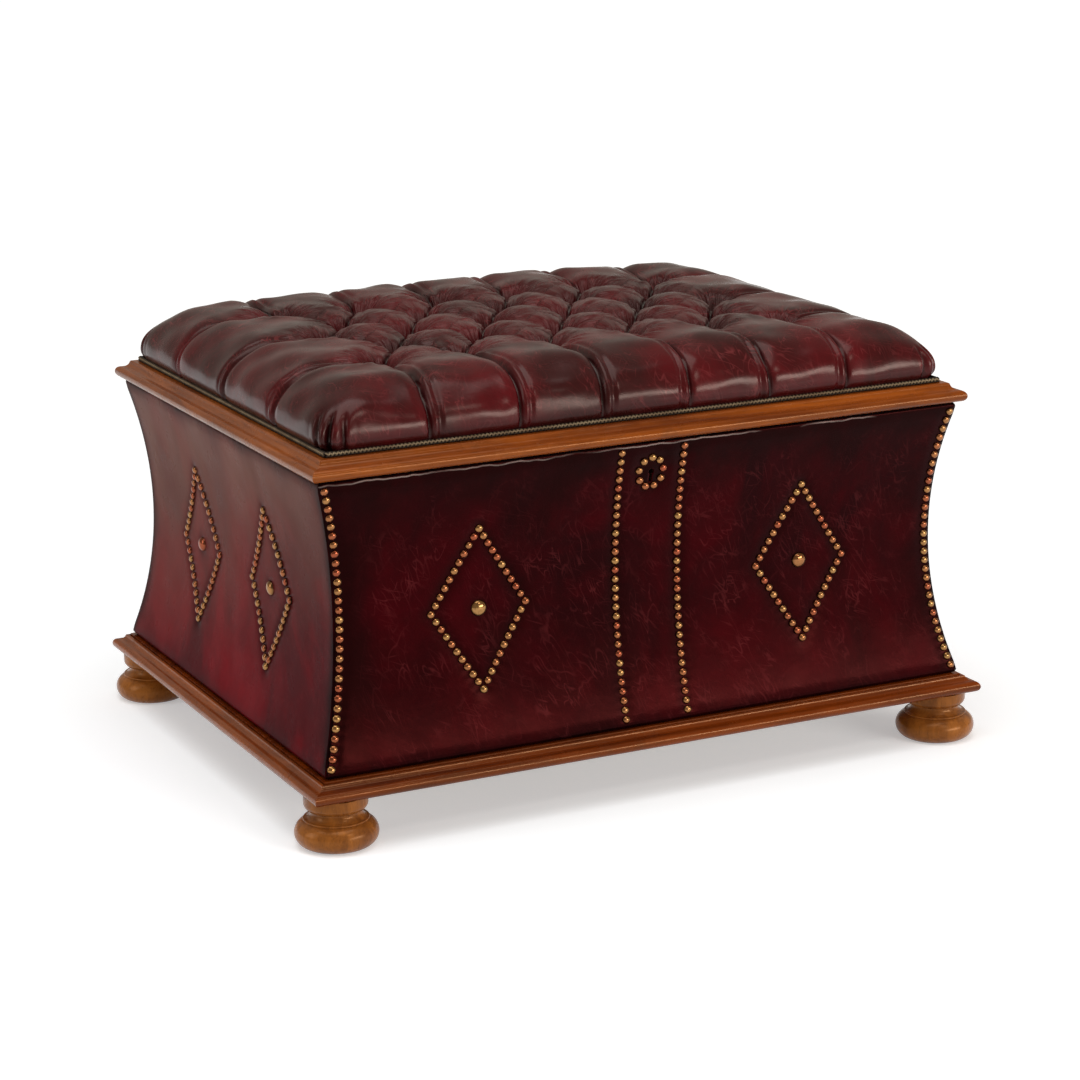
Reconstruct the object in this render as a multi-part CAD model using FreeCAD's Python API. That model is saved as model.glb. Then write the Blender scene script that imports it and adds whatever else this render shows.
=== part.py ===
import FreeCAD, Part

# A box ottoman: a leather-covered box with drawn-in sides, a deep-buttoned hinged lid and bun feet.
# Millimetres, X along the front, Y from front to back, Z up, origin on the floor under the middle.
import math
import os
from FreeCAD import Vector

# Case, measured over its leather
case_length = 780  # along the rim
case_depth = 614  # along the rim
case_height = 322
case_spread = 5  # how much further out each side stands at its foot than at the rim
case_hollow = 23.5  # how far each side is drawn in at its waist
wall_thickness = 44  # at the rim, over the leather
leather = 1.5
skin = 6  # bent boards that back the leather
edge_round_share = 0.6  # of the skin's thickness that the long edges are rounded by
inner_board = 12
rail_height = 40
rib_width = 20
rib_places_share = (-0.62, -0.1, 0.1, 0.62)  # of half a side's length
leather_tuck = 15  # leather turned in under the case

# Base
foot_height = 56.5
base_thickness = 21
base_lip = 3  # strip of the base frame that shows outside the leather
base_overhang = 21  # moulding's nose outside the leather's foot
base_rail_width = 70
base_panel = 12
rebate = 8
quirk_width = 1.5
quirk_depth = 2

# Mouldings
nosing_radius = 6.5
base_cove = 6  # rise of the hollow above the nosing
base_shoulder = 1  # radius of the edge above the hollow
lid_cove = 8
lid_shoulder = 2.5
hollow_turn = 75  # degrees that the hollow turns through
lid_overhang = 10
lid_moulding_width = 26

# Turned feet
foot_radius = 45.5
foot_inset = 17  # foot's middle inside the leather's foot line
dowel_radius = 10
dowel_length = 15
dowel_end_gap = 1
# each point is a share of the foot's radius and of its height, and a pair of points is an arc
foot_shares = (
    (0, 0),
    (0.725, 0),
    ((1.0, 0.259), (0.79, 0.504)),
    (0.77, 0.512),
    ((0.787, 0.53), (0.76, 0.55)),
    (0.72, 0.554),
    ((0.63, 0.615), (0.6, 0.7)),
    ((0.7, 0.735), (0.765, 0.83)),
    (0.765, 1.0),
    (0, 1.0),
)

# Lid
lid_gap = 0.5
lid_rail_width = 60
lid_panel = 12
lid_lining = 2
gimp_width = 6
gimp_rise = 3.2
gimp_overlap = 2  # how far the gimp lies over the lid's moulding
gimp_gap = 1  # to the cushion's foot, because the cushion's side leans out over the gimp

# Tufted cushion
cushion_bulge = 8  # sides stand this far outside the cushion's foot
cushion_height = 76
cushion_roll = 43  # radius of the top edge
cushion_corner = 48
side_bow_share = 0.3  # of the bulge that is still missing halfway up the side
tuft_columns = 6
tuft_rows = 5
tuft_margin_long = 130  # outermost tufts to the bulge, along the length
tuft_margin_deep = 147
tuft_shoulder = 34  # half the width of a channel between pillows
channel_depth = 27
border_shoulder = 14
border_depth = 21
fold_gap = 2
tuft_depth = 41
tuft_mouth = 26
shoulder_share = (0.42, 0.3)  # middle of a channel's side: of its half width, of its depth
throat_share = (0.33, 0.36)  # where a tuft's hollow steepens: of its slope's width, of its depth
side_fold_width = 9
side_fold_depth = 5
soft_gap = 0.3
button_radius = 8
button_rise = 5
button_gap = 1
tie_radius = 1
tie_gap = 0.3
knot_radius = 3
knot_height = 2

# Lining of the well
lining = 2
lining_drop = 2.5  # lining stops this far below the rim

# Dome-headed nails
nail_head = 9.2
nail_rise = 3.7
nail_shank_radius = 0.9
nail_length = 10
nail_pitch = 10.4
large_nail_head = 18
large_nail_rise = 5.5
edge_nail_inset = 5.5
row_end_inset = 10  # end nails from the rim and from the foot of the leather
front_shift = 1.5  # middle of the front's pattern, to the right of the middle
front_row_gap = 77  # between the two upright rows
front_diamond_spacing = 399
front_diamond_shift = -3  # to the left of the middle
side_diamond_spacing = 217
side_diamond_shift = 4.5  # towards the back
diamond_width = 112
diamond_height = 180
diamond_drop = 12.5  # below the narrowest part of the waist
keyhole_nails = 9
keyhole_ring_width = 30
keyhole_ring_height = 35

# Lock
keyhole_drop = 36.5  # middle of the keyhole below the rim
keyhole_radius = 3.25
keyhole_slot = 3.5
keyhole_tail = 12  # from the keyhole's middle to its lower end
lock_length = 64
lock_height = 52
lock_plate = 1.5
lock_top_length = 80
lock_top_thickness = 2.5
lock_top_sink = 0.5
lock_fit = 0.3
hook_thickness = 3
bolt_travel = 7
bolt_plate_length = 50
bolt_plate_height = 8
bolt_drop = 18  # top of the bolt's plate below the top plate's face
ledge_length = 14
ledge_height = 2
hook_post = 4
hook_reach = 7
hook_height = 4.6
talon_width = 8
talon_depth = 4
link_spacing = 28
link_width = 3
link_depth = 6
link_rail = 1
link_floor = 3
link_drop = 12
link_eye = 6
link_gap = 1
link_plate_length = 62
link_plate_thickness = 2
drill_pin_radius = 1.2

# Hinges
hinge_spacing = 500
hinge_length = 76
hinge_leaf = 2
hinge_leaf_reach = 40
hinge_screw_share = (1 / 3, 1 / 6)  # of a leaf's length, from its middle to the outer and the inner screws
hinge_screw_row_share = (1 / 4, 3 / 4)  # of the reach, from the box's face to each row of screws
hinge_knuckles = 5
knuckle_radius = 4.5
knuckle_gap = 0.2
hinge_pin_radius = 2.2
hinge_pin_play = 0.05
pin_head_radius = 3.4
pin_head_height = 1
knuckle_stand_off = 0.5  # between the knuckles and the leather
hinge_notch_gap = 0.6
leaf_gap = 0.3

# Lid stays: arcs round the hinge axis that slide through guides on the well's ends
stay_radius = 280
stay_bar = 12
stay_thickness = 3
stay_wall_gap = 3
stay_sweep = 78  # degrees from the lid's underside to the lower end
stay_foot_length = 30
stay_screw_spacing = 20
stay_foot_width = 16
stay_foot_thickness = 2.5
stay_stop = 3  # end stop outside the bar on each side
stay_stop_height = 4
guide_height = 8
guide_wall = 3
guide_drop = 5  # below the rim
guide_play = 0.4

# Screws
screw_radius = 1.75
screw_head_radius = 3.5
screw_length = 16
screw_hole_gap = 0.2

# Cutting and building
overrun = 5
mitre_reach = 100

# Levels
base_top = foot_height + base_thickness
rim = base_top + case_height
rim_wood = rim - leather
lid_bottom = rim + lid_gap
lid_thickness = 2 * nosing_radius + lid_cove
lid_top = lid_bottom + lid_thickness
cushion_top = lid_top + cushion_height
tallest = cushion_top + overrun

# Half sizes and lines, measured outwards from the leather's rim unless they are half sizes
half_length = case_length / 2
half_depth = case_depth / 2
edge_round = leather + skin * edge_round_share
frame_inset = leather + skin
well_line = -wall_thickness
board_line = inner_board - wall_thickness
base_edge = case_spread + base_lip
base_frame_inner = base_edge - base_rail_width
lid_frame_edge = lid_overhang - lid_moulding_width
lid_frame_inner = lid_frame_edge - lid_rail_width
gimp_outer = lid_frame_edge + gimp_overlap + gimp_width / 2
gimp_inner = gimp_outer - gimp_width
cushion_foot = gimp_inner - gimp_gap
well_half_length = half_length - wall_thickness
well_half_depth = half_depth - wall_thickness

# The wall's curve: an arc through the rim, the waist and the foot
curve_top = rim - edge_round
curve_foot = base_top + edge_round
curve_middle = (curve_top + curve_foot) / 2
waist_line = case_spread / 2 - case_hollow

diagonal_share = math.sqrt(1 / 2)  # of a radius, across and up, at the middle of a quarter arc

SIDES = {
    "front": (0, half_depth, half_length),
    "right": (90, half_length, half_depth),
    "back": (180, half_depth, half_length),
    "left": (270, half_length, half_depth),
}


def save(name, *shapes):
    """Write one node, as one solid or as a group of separate solids."""
    shape = shapes[0] if len(shapes) == 1 else Part.makeCompound(list(shapes))
    shape.exportStep("parts/" + name + ".step")


def outline(points, place):
    """A flat face through points, where a pair of points is an arc's middle and end."""
    first = last = place(*points[0])
    edges = []
    for point in points[1:]:
        if isinstance(point[0], tuple):
            end = place(*point[1])
            edges.append(Part.Arc(last, place(*point[0]), end).toShape())
        else:
            end = place(*point)
            edges.append(Part.makeLine(last, end))
        last = end
    if (last - first).Length > 0:
        edges.append(Part.makeLine(last, first))
    return Part.Face(Part.Wire(edges))


def box(x, y, z):
    """A box from three (low, high) pairs."""
    size = (x[1] - x[0], y[1] - y[0], z[1] - z[0])
    return Part.makeBox(*size, Vector(x[0], y[0], z[0]))


def around(middle, width):
    return (middle - width / 2, middle + width / 2)


def turned(shape, angle):
    """A copy of what was made for the front, turned to another side."""
    copy = shape.copy()
    copy.rotate(Vector(0, 0, 0), Vector(0, 0, 1), angle)
    return copy


def wedge(face, run):
    """The region that belongs to the front side, cut at the mitres."""
    near, far = -mitre_reach, mitre_reach
    corners = [
        (-(run + near), -(face + near)),
        (run + near, -(face + near)),
        (run + far, -(face + far)),
        (-(run + far), -(face + far)),
    ]
    return outline(corners, lambda x, y: Vector(x, y, 0)).extrude(Vector(0, 0, tallest))


def mitred(side, points):
    """A length of one section along a side, mitred at both ends. Points are (out, level)."""
    angle, face, run = SIDES[side]
    reach = run + mitre_reach
    section = outline(points, lambda out, level: Vector(-reach, -(face + out), level))
    piece = section.extrude(Vector(2 * reach, 0, 0)).common(wedge(face, run))
    return turned(piece, angle)


def single(shape):
    """The one solid of a shape that a cut or a fuse gives back as a compound."""
    return shape.Solids[0] if len(shape.Solids) == 1 else shape


def circle_through(a, b, c):
    """Centre and radius of the circle through three points."""
    d = 2 * (a[0] * (b[1] - c[1]) + b[0] * (c[1] - a[1]) + c[0] * (a[1] - b[1]))
    squares = [p[0] ** 2 + p[1] ** 2 for p in (a, b, c)]
    x = squares[0] * (b[1] - c[1]) + squares[1] * (c[1] - a[1]) + squares[2] * (a[1] - b[1])
    y = squares[0] * (c[0] - b[0]) + squares[1] * (a[0] - c[0]) + squares[2] * (b[0] - a[0])
    centre = (x / d, y / d)
    return centre[0], centre[1], math.dist(centre, a)


def curve_points(inset):
    """The ends and the middle of the wall's curve, that much inside the leather."""
    return (-inset, curve_top), (waist_line - inset, curve_middle), (case_spread - inset, curve_foot)


def curve_at(inset, level):
    """How far out the wall's curve lies at a level."""
    centre_out, centre_level, radius = circle_through(*curve_points(inset))
    return centre_out - math.sqrt(radius**2 - (level - centre_level) ** 2)


def wall_face(inset):
    """The wall's outer line from rim to foot, inside the leather's face, as outline points."""
    small = edge_round - inset
    swell = small * diagonal_share
    top, middle, foot = curve_points(inset)
    foot_middle = case_spread - edge_round
    return [
        (-edge_round, rim - inset),
        ((-edge_round + swell, curve_top + swell), top),
        (middle, foot),
        ((foot_middle + swell, curve_foot - swell), (foot_middle, base_top + inset)),
    ]


def backwards(points):
    """The same outline points, run from the last to the first."""
    ends = [p[1] if isinstance(p[0], tuple) else p for p in points]
    result = [ends[-1]]
    for i in range(len(points) - 1, 0, -1):
        arc = isinstance(points[i][0], tuple)
        result.append((points[i][0], ends[i - 1]) if arc else ends[i - 1])
    return result


def frame_arc(low, high):
    """The inner face of the bent boards between two levels, as an arc from low to high."""
    middle = (low + high) / 2
    start = (curve_at(frame_inset, low), low)
    return [start, ((curve_at(frame_inset, middle), middle), (curve_at(frame_inset, high), high))]


def leather_side(side):
    """Leather over the rim, down the hollow face and turned in under the foot."""
    foot_in = case_spread - edge_round - leather_tuck
    points = (
        [(well_line, rim)]
        + wall_face(0)
        + [(foot_in, base_top), (foot_in, base_top + leather)]
        + backwards(wall_face(leather))
        + [(well_line, rim_wood)]
    )
    return mitred(side, points)


def skin_side(side):
    """A thin board bent to the hollow."""
    top, foot = curve_at(frame_inset, rim_wood), curve_at(frame_inset, base_top + leather)
    points = (
        [(top, rim_wood)]
        + wall_face(leather)
        + [(foot, base_top + leather)]
        + frame_arc(base_top + leather, rim_wood)[1:]
    )
    return mitred(side, points)


def shaped_rail(side, low, high):
    """A rail or rib between the inner board and the bent board."""
    return mitred(side, [(board_line, high), (board_line, low)] + frame_arc(low, high))


def ribs(side):
    """Upright ribs between the two shaped rails, with one at each mitre."""
    angle, face, run = SIDES[side]
    low = base_top + leather + rail_height
    high = rim_wood - rail_height
    strip = turned(shaped_rail(side, low, high), -angle)
    across = (-(face + mitre_reach), 0)
    ends = run - 2 * rib_width
    places = [around(share * run, rib_width) for share in rib_places_share]
    places += [(ends, run + mitre_reach), (-run - mitre_reach, -ends)]
    return [turned(single(strip.common(box(x, across, (low, high)))), angle) for x in places]


def moulding(side, low, inner, nose, cove, shoulder, quirk):
    """A nosing under a hollow that ends in a shoulder. A quirk is a step beside what it lies against."""
    turn = math.radians(hollow_turn)
    centre, top = nose - nosing_radius, low + 2 * nosing_radius
    high = top + cove
    reach = cove / (1 - math.cos(turn))
    hollow, edge = reach - shoulder, centre - reach * math.sin(turn)
    dip = [(centre - hollow * math.sin(a), top + hollow * (1 - math.cos(a))) for a in (turn / 2, turn)]
    round_off = [(edge + shoulder * math.sin(a), high - shoulder * (1 - math.cos(a))) for a in (turn / 2, 0)]
    points = [
        (inner, low),
        (centre, low),
        ((nose, low + nosing_radius), (centre, top)),
        tuple(dip),
        tuple(round_off),
    ]
    if quirk:
        points += [(inner + quirk_width, high), (inner + quirk_width, high - quirk_depth)]
        points += [(inner, high - quirk_depth)]
    else:
        points += [(inner, high)]
    return mitred(side, points)


def frame_rails(edge, inner, level, ledge):
    """Two long rails, two short rails between them, and the rebate that takes a panel."""
    out_x, out_y = half_length + edge, half_depth + edge
    in_x, in_y = half_length + inner, half_depth + inner
    space = panel(inner, ledge)
    long_rails = [box((-out_x, out_x), y, level) for y in ((-out_y, -in_y), (in_y, out_y))]
    short_rails = [box(x, (-in_y, in_y), level) for x in ((-out_x, -in_x), (in_x, out_x))]
    return [r.cut(space) for r in long_rails], [r.cut(space) for r in short_rails]


def panel(inner, level):
    """A board whose edges lie in the rebate of a frame."""
    x, y = half_length + inner + rebate, half_depth + inner + rebate
    return box((-x, x), (-y, y), level)


def foot_places():
    x = half_length + case_spread - foot_inset
    y = half_depth + case_spread - foot_inset
    names = ("front_left", "front_right", "back_left", "back_right")
    return dict(zip(names, ((-x, -y), (x, -y), (-x, y), (x, y))))


def foot(place):
    """A turned bun foot with a dowel that goes up into the base frame."""
    scaled = []
    for point in foot_shares:
        pair = point if isinstance(point[0], tuple) else (point,)
        scaled.append(tuple((r * foot_radius, h * foot_height) for r, h in pair))
    points = [p if len(p) > 1 else p[0] for p in scaled]
    profile = outline(points, lambda r, level: Vector(place[0] + r, place[1], level))
    turning = profile.revolve(Vector(place[0], place[1], 0), Vector(0, 0, 1), 360)
    dowel = Part.makeCylinder(dowel_radius, dowel_length, Vector(place[0], place[1], foot_height))
    return single(turning.fuse(dowel).removeSplitter())


def foot_holes():
    depth = dowel_length + dowel_end_gap
    places = foot_places().values()
    return [Part.makeCylinder(dowel_radius, depth, Vector(x, y, foot_height)) for x, y in places]


def inner_boards():
    """Straight boards that line the well. The ends stand between the front and the back."""
    x, y = well_half_length, well_half_depth
    level = (base_top, rim_wood)
    long_reach = (-x - inner_board, x + inner_board)
    return {
        "front": box(long_reach, (-y - inner_board, -y), level),
        "back": box(long_reach, (y, y + inner_board), level),
        "left": box((-x - inner_board, -x), (-y, y), level),
        "right": box((x, x + inner_board), (-y, y), level),
    }


def lining_panels():
    """Covered boards that lie against the inner boards, above the lining of the floor."""
    x, y = well_half_length, well_half_depth
    level = (base_top + lining, rim - lining_drop)
    return [
        box((-x, x), (-y, -y + lining), level),
        box((-x, x), (y - lining, y), level),
        box((-x, -x + lining), (-y + lining, y - lining), level),
        box((x - lining, x), (-y + lining, y - lining), level),
    ]


# Nails


def wall_point(along, rise):
    """Place and outward direction on the front's face, with rise measured along its curve."""
    centre_out, centre_level, radius = circle_through(*curve_points(0))
    angle = rise / radius
    out = centre_out - radius * math.cos(angle)
    level = centre_level + radius * math.sin(angle)
    return out, level, along, Vector(0, -math.cos(angle), -math.sin(angle))


def curve_rise(level):
    """Where a level lies along the curve, from the curve's own middle."""
    centre_level, radius = circle_through(*curve_points(0))[1:]
    return radius * math.asin((level - centre_level) / radius)


def cap_middle(radius, rise):
    """The middle of the arc from a round cap's edge to its top, as (out, up) from the cap's foot."""
    ball = (rise**2 + radius**2) / (2 * rise)
    lean = math.asin(radius / ball) / 2
    return ball * math.sin(lean), rise - ball + ball * math.cos(lean)


def nail(head, rise):
    """A dome on a pointed shank, standing on the XY plane."""
    radius = head / 2
    points = [
        (0, -nail_length),
        (nail_shank_radius, -nail_length + 2 * nail_shank_radius),
        (nail_shank_radius, 0),
        (radius, 0),
        (cap_middle(radius, rise), (0, rise)),
    ]
    profile = outline(points, lambda r, level: Vector(r, 0, level))
    return profile.revolve(Vector(0, 0, 0), Vector(0, 0, 1), 360)


def set_nails(side, model, places):
    """Copies of a nail, each square to the face. Places are (along, rise)."""
    angle, face = SIDES[side][:2]
    nails = []
    for along, rise in places:
        out, level, x, outward = wall_point(along, rise)
        copy = model.copy()
        turn = FreeCAD.Rotation(Vector(0, 0, 1), outward)
        copy.Placement = FreeCAD.Placement(Vector(x, -(face + out), level), turn)
        nails.append(turned(copy, angle))
    return nails


def spaced(low, high, pitch):
    """Even places from low to high, as near to the pitch as whole nails allow."""
    count = max(1, round((high - low) / pitch))
    return [low + (high - low) * i / count for i in range(count + 1)]


def upright_rise():
    foot, top = curve_rise(base_top + row_end_inset), curve_rise(rim - row_end_inset)
    return spaced(foot, top, nail_pitch)


def edge_row(side):
    """The two rows beside the corners, which follow the mitres."""
    places = []
    for rise in upright_rise():
        out = wall_point(0, rise)[0]
        reach = SIDES[side][2] + out - edge_nail_inset
        places += [(-reach, rise), (reach, rise)]
    return places


def diamond(centre):
    """Nails along the four sides of a standing diamond."""
    middle = -diamond_drop
    wide, high = diamond_width / 2, diamond_height / 2
    count = round(math.hypot(wide, high) / nail_pitch)
    corners = [(0, high), (wide, 0), (0, -high), (-wide, 0)]
    places = []
    for i, start in enumerate(corners):
        end = corners[(i + 1) % len(corners)]
        for step in range(count):
            part = step / count
            across = start[0] + (end[0] - start[0]) * part
            up = start[1] + (end[1] - start[1]) * part
            places.append((centre + across, middle + up))
    return places


def keyhole_ring():
    middle = curve_rise(rim - keyhole_drop)
    places = []
    for i in range(keyhole_nails):
        turn = 2 * math.pi * (i + 1 / 2) / keyhole_nails - math.pi / 2
        across = keyhole_ring_width / 2 * math.cos(turn)
        places.append((front_shift + across, middle + keyhole_ring_height / 2 * math.sin(turn)))
    return places


def front_diamond_places():
    return [front_diamond_shift + s * front_diamond_spacing / 2 for s in (-1, 1)]


def side_diamond_places(sign):
    """Places along a side, seen from outside, of diamonds that stand nearer the back."""
    return [sign * (side_diamond_shift + s * side_diamond_spacing / 2) for s in (-1, 1)]


def nail_nodes():
    small = nail(nail_head, nail_rise)
    large = nail(large_nail_head, large_nail_rise)
    front = edge_row("front") + keyhole_ring()
    for along in around(front_shift, front_row_gap):
        front += [(along, rise) for rise in upright_rise()]
    for along in front_diamond_places():
        front += diamond(along)
    save("nails_front", *set_nails("front", small, front))
    save("nails_back", *set_nails("back", small, edge_row("back")))
    centres = set_nails("front", large, [(x, -diamond_drop) for x in front_diamond_places()])
    for side, sign in (("left", -1), ("right", 1)):
        places = side_diamond_places(sign)
        save("nails_" + side, *set_nails(side, small, [p for x in places for p in diamond(x)]))
        centres += set_nails(side, large, [(x, -diamond_drop) for x in places])
    save("large_nails", *centres)


# Screws


def screw(x, y, level, down):
    """A countersunk screw whose head lies flush at a level, pointing down or up."""
    cone = screw_head_radius - screw_radius
    points = [
        (0, 0),
        (screw_head_radius, 0),
        (screw_radius, -cone),
        (screw_radius, -screw_length + 2 * screw_radius),
        (0, -screw_length),
    ]
    direction = 1 if down else -1
    profile = outline(points, lambda r, up: Vector(x + r, y, level + up * direction))
    return profile.revolve(Vector(x, y, 0), Vector(0, 0, 1), 360)


def screw_hole(x, y, level, down):
    """The clear hole in a plate that a screw goes through."""
    gap = screw_hole_gap
    cone = screw_head_radius - screw_radius
    points = [
        (0, gap),
        (screw_head_radius + gap, gap),
        (screw_head_radius + gap, 0),
        (screw_radius + gap, -cone),
        (screw_radius + gap, -screw_length),
        (0, -screw_length),
    ]
    direction = 1 if down else -1
    profile = outline(points, lambda r, up: Vector(x + r, y, level + up * direction))
    return profile.revolve(Vector(x, y, 0), Vector(0, 0, 1), 360)


# Hinges

hinge_y = half_depth + knuckle_stand_off + knuckle_radius
hinge_level = (rim + lid_bottom) / 2
box_leaf = (hinge_level - leaf_gap / 2 - hinge_leaf, hinge_level - leaf_gap / 2)
lid_leaf = (hinge_level + leaf_gap / 2, hinge_level + leaf_gap / 2 + hinge_leaf)
leaf_front = half_depth - hinge_leaf_reach
hinge_places = around(0, hinge_spacing)


def hinge_screw_places(middle):
    """Two screws near each end of a leaf, staggered."""
    outer, inner = (hinge_length * share for share in hinge_screw_share)
    near, far = (half_depth - hinge_leaf_reach * share for share in hinge_screw_row_share)
    return [(middle - outer, near), (middle - inner, far), (middle + inner, far), (middle + outer, near)]


def knuckle_spans(middle, mine):
    """The stretches of the barrel that belong to one leaf: the even ones or the odd ones."""
    pitch = hinge_length / hinge_knuckles
    start = middle - hinge_length / 2
    starts = [start + i * pitch for i in range(hinge_knuckles) if i % 2 == mine]
    return [(s + knuckle_gap / 2, s + pitch - knuckle_gap / 2) for s in starts]


def barrel(span, radius):
    start = Vector(span[0], hinge_y, hinge_level)
    return Part.makeCylinder(radius, span[1] - span[0], start, Vector(1, 0, 0))


def hinge_leaf_solid(middle, level, mine):
    """A leaf with its knuckles, cut clear of the other leaf's knuckles."""
    plate = box(around(middle, hinge_length), (leaf_front, hinge_y - knuckle_radius / 2), level)
    others = [(s[0] - knuckle_gap, s[1] + knuckle_gap) for s in knuckle_spans(middle, 1 - mine)]
    plate = plate.cut([barrel(s, knuckle_radius + knuckle_gap) for s in others])
    leaf = plate.fuse([barrel(s, knuckle_radius) for s in knuckle_spans(middle, mine)])
    bore = hinge_pin_radius + (hinge_pin_play if mine else 0)
    leaf = leaf.cut(barrel(around(middle, hinge_length + overrun), bore))
    face = level[0] if mine else level[1]
    holes = [screw_hole(x, y, face, not mine) for x, y in hinge_screw_places(middle)]
    return single(leaf.cut(holes).removeSplitter())


def hinge_pin(middle):
    pin = barrel(around(middle, hinge_length), hinge_pin_radius)
    ends = around(middle, hinge_length)
    heads = [(ends[0] - pin_head_height, ends[0]), (ends[1], ends[1] + pin_head_height)]
    return single(pin.fuse([barrel(h, pin_head_radius) for h in heads]).removeSplitter())


def hinge_pockets(lid):
    """Room for the leaves and the knuckles, cut from the lid or from the case."""
    pockets = []
    for middle in hinge_places:
        span = around(middle, hinge_length + 2 * hinge_notch_gap)
        inward = (leaf_front - hinge_notch_gap, hinge_y)
        if lid:
            pockets.append(box(span, inward, (lid_bottom - overrun, lid_leaf[1])))
            reach = knuckle_radius + hinge_notch_gap
            behind = (hinge_y - reach, half_depth + lid_overhang + overrun)
            wide = around(middle, hinge_length + 2 * (pin_head_height + hinge_notch_gap))
            pockets.append(box(wide, behind, (lid_bottom - overrun, hinge_level + reach)))
        else:
            pockets.append(box(span, inward, (box_leaf[0], rim + overrun)))
    return pockets


# Lock, let into the inside of the front

lock_x = front_shift
lock_y = (-well_half_depth - inner_board, -well_half_depth)
lock_middle_y = (lock_y[0] + lock_y[1]) / 2
lock_hollow_x = around(lock_x, lock_length - 2 * lock_plate)
lock_hollow_y = (lock_y[0] + lock_plate, lock_y[1] - lock_plate)
lock_top = rim - lock_top_sink
lock_level = (lock_top - lock_height, lock_top)
keyhole_level = rim - keyhole_drop
bolt_top = lock_top - bolt_drop
bolt_level = (bolt_top - bolt_plate_height, bolt_top)
link_tops = [lock_x + s * link_spacing / 2 for s in (-1, 1)]
link_bottom = lid_bottom - link_drop - link_floor
eye = (lid_bottom - link_drop, lid_bottom - link_drop + link_eye)


def keyhole(reach):
    """The keyhole's shape through the front, from outside to a given Y."""
    start = -(half_depth + overrun)
    length = reach - start
    head = Part.makeCylinder(keyhole_radius, length, Vector(lock_x, start, keyhole_level), Vector(0, 1, 0))
    tail = box(around(lock_x, keyhole_slot), (start, reach), (keyhole_level - keyhole_tail, keyhole_level))
    return head.fuse(tail)


def lock_space():
    """What the lock takes out of the front board, its leather and its lining."""
    depth = (lock_y[0], lock_y[1] + overrun)
    body = box(around(lock_x, lock_length), depth, lock_level)
    top = box(around(lock_x, lock_top_length), depth, (lock_top - lock_top_thickness, rim + overrun))
    return body.fuse(top)


def lock_leather_space():
    span = around(lock_x, lock_top_length + 2 * lock_fit)
    depth = (lock_y[0] - lock_fit, lock_y[1] + overrun)
    return box(span, depth, (rim_wood - overrun, rim + overrun))


def lock_screw_places():
    return [(x, lock_middle_y) for x in around(lock_x, (lock_length + lock_top_length) / 2)]


def lock_case():
    """A case with ledges that the bolt slides on, and a top plate that the links drop through."""
    body = box(around(lock_x, lock_length), (lock_y[0], lock_y[1] - lock_plate), lock_level)
    inner_z = (lock_level[0] + lock_plate, lock_top - lock_top_thickness)
    hollow = box(lock_hollow_x, lock_hollow_y, inner_z)
    ledge_z = (bolt_level[0] - ledge_height, bolt_level[0])
    left, right = lock_hollow_x
    ledge_x = ((left, left + ledge_length), (right - ledge_length, right))
    hollow = hollow.cut([box(x, lock_hollow_y, ledge_z) for x in ledge_x])
    top = box(around(lock_x, lock_top_length), lock_y, (lock_top - lock_top_thickness, lock_top))
    slots = []
    for x in link_tops:
        span = around(x, link_width + 2 * link_gap)
        depth = around(lock_middle_y, link_depth + 2 * link_gap)
        slots.append(box(span, depth, (lock_top - lock_top_thickness - overrun, lock_top + overrun)))
    holes = [screw_hole(x, y, lock_top, True) for x, y in lock_screw_places()]
    shell = body.fuse(top).cut([hollow, keyhole(lock_middle_y)] + slots + holes)
    return single(shell.removeSplitter())


def lock_cap():
    """The plate that closes the lock, with the pin that a hollow key turns on."""
    level = (lock_level[0], lock_top - lock_top_thickness)
    plate = box(around(lock_x, lock_length), (lock_hollow_y[1], lock_y[1]), level)
    tip = Vector(lock_x, lock_y[0] + lock_plate / 2, keyhole_level)
    pin = Part.makeCylinder(drill_pin_radius, lock_hollow_y[1] - tip.y, tip, Vector(0, 1, 0))
    return single(plate.fuse(pin).removeSplitter())


def lock_bolt():
    """A plate with two hooks that slide into the links, and a notch that the key moves."""
    middle = lock_x - bolt_travel / 2
    deep = (lock_hollow_y[0] + lock_fit, lock_hollow_y[1] - lock_fit)
    plate = box(around(middle, bolt_plate_length), deep, bolt_level)
    notch = box(around(middle, talon_width), deep, (bolt_level[0], bolt_level[0] + talon_depth))
    depth = around(lock_middle_y, hook_thickness)
    finger = (eye[0] + lock_fit, eye[0] + lock_fit + hook_height)
    hooks = []
    for x in link_tops:
        tip = x - link_width / 2 - link_gap
        hooks.append(box((tip - hook_reach, tip), depth, finger))
        hooks.append(box((tip - hook_reach - hook_post, tip - hook_reach), depth, (bolt_top, finger[1])))
    return single(plate.cut(notch).fuse(hooks).removeSplitter())


def link_plate():
    """The lid's half of the lock: a plate with two eyed links."""
    plate = box(around(lock_x, link_plate_length), lock_y, (lid_bottom, lid_bottom + link_plate_thickness))
    depth, eye_depth = around(lock_middle_y, link_depth), around(lock_middle_y, link_depth - 2 * link_rail)
    links = [box(around(x, link_width), depth, (link_bottom, lid_bottom)) for x in link_tops]
    eyes = [box(around(x, link_width + overrun), eye_depth, eye) for x in link_tops]
    holes = [screw_hole(x, y, lid_bottom, False) for x, y in link_screw_places()]
    return single(plate.fuse(links).cut(eyes + holes).removeSplitter())


def link_screw_places():
    reach = (link_plate_length + link_spacing) / 2
    return [(x, lock_middle_y) for x in around(lock_x, reach)]


# Lid stays

stay_x = well_half_length - lining - stay_wall_gap - stay_thickness
stay_inner, stay_outer = stay_radius - stay_bar / 2, stay_radius + stay_bar / 2
stay_foot_low = lid_bottom - stay_foot_thickness


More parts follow.
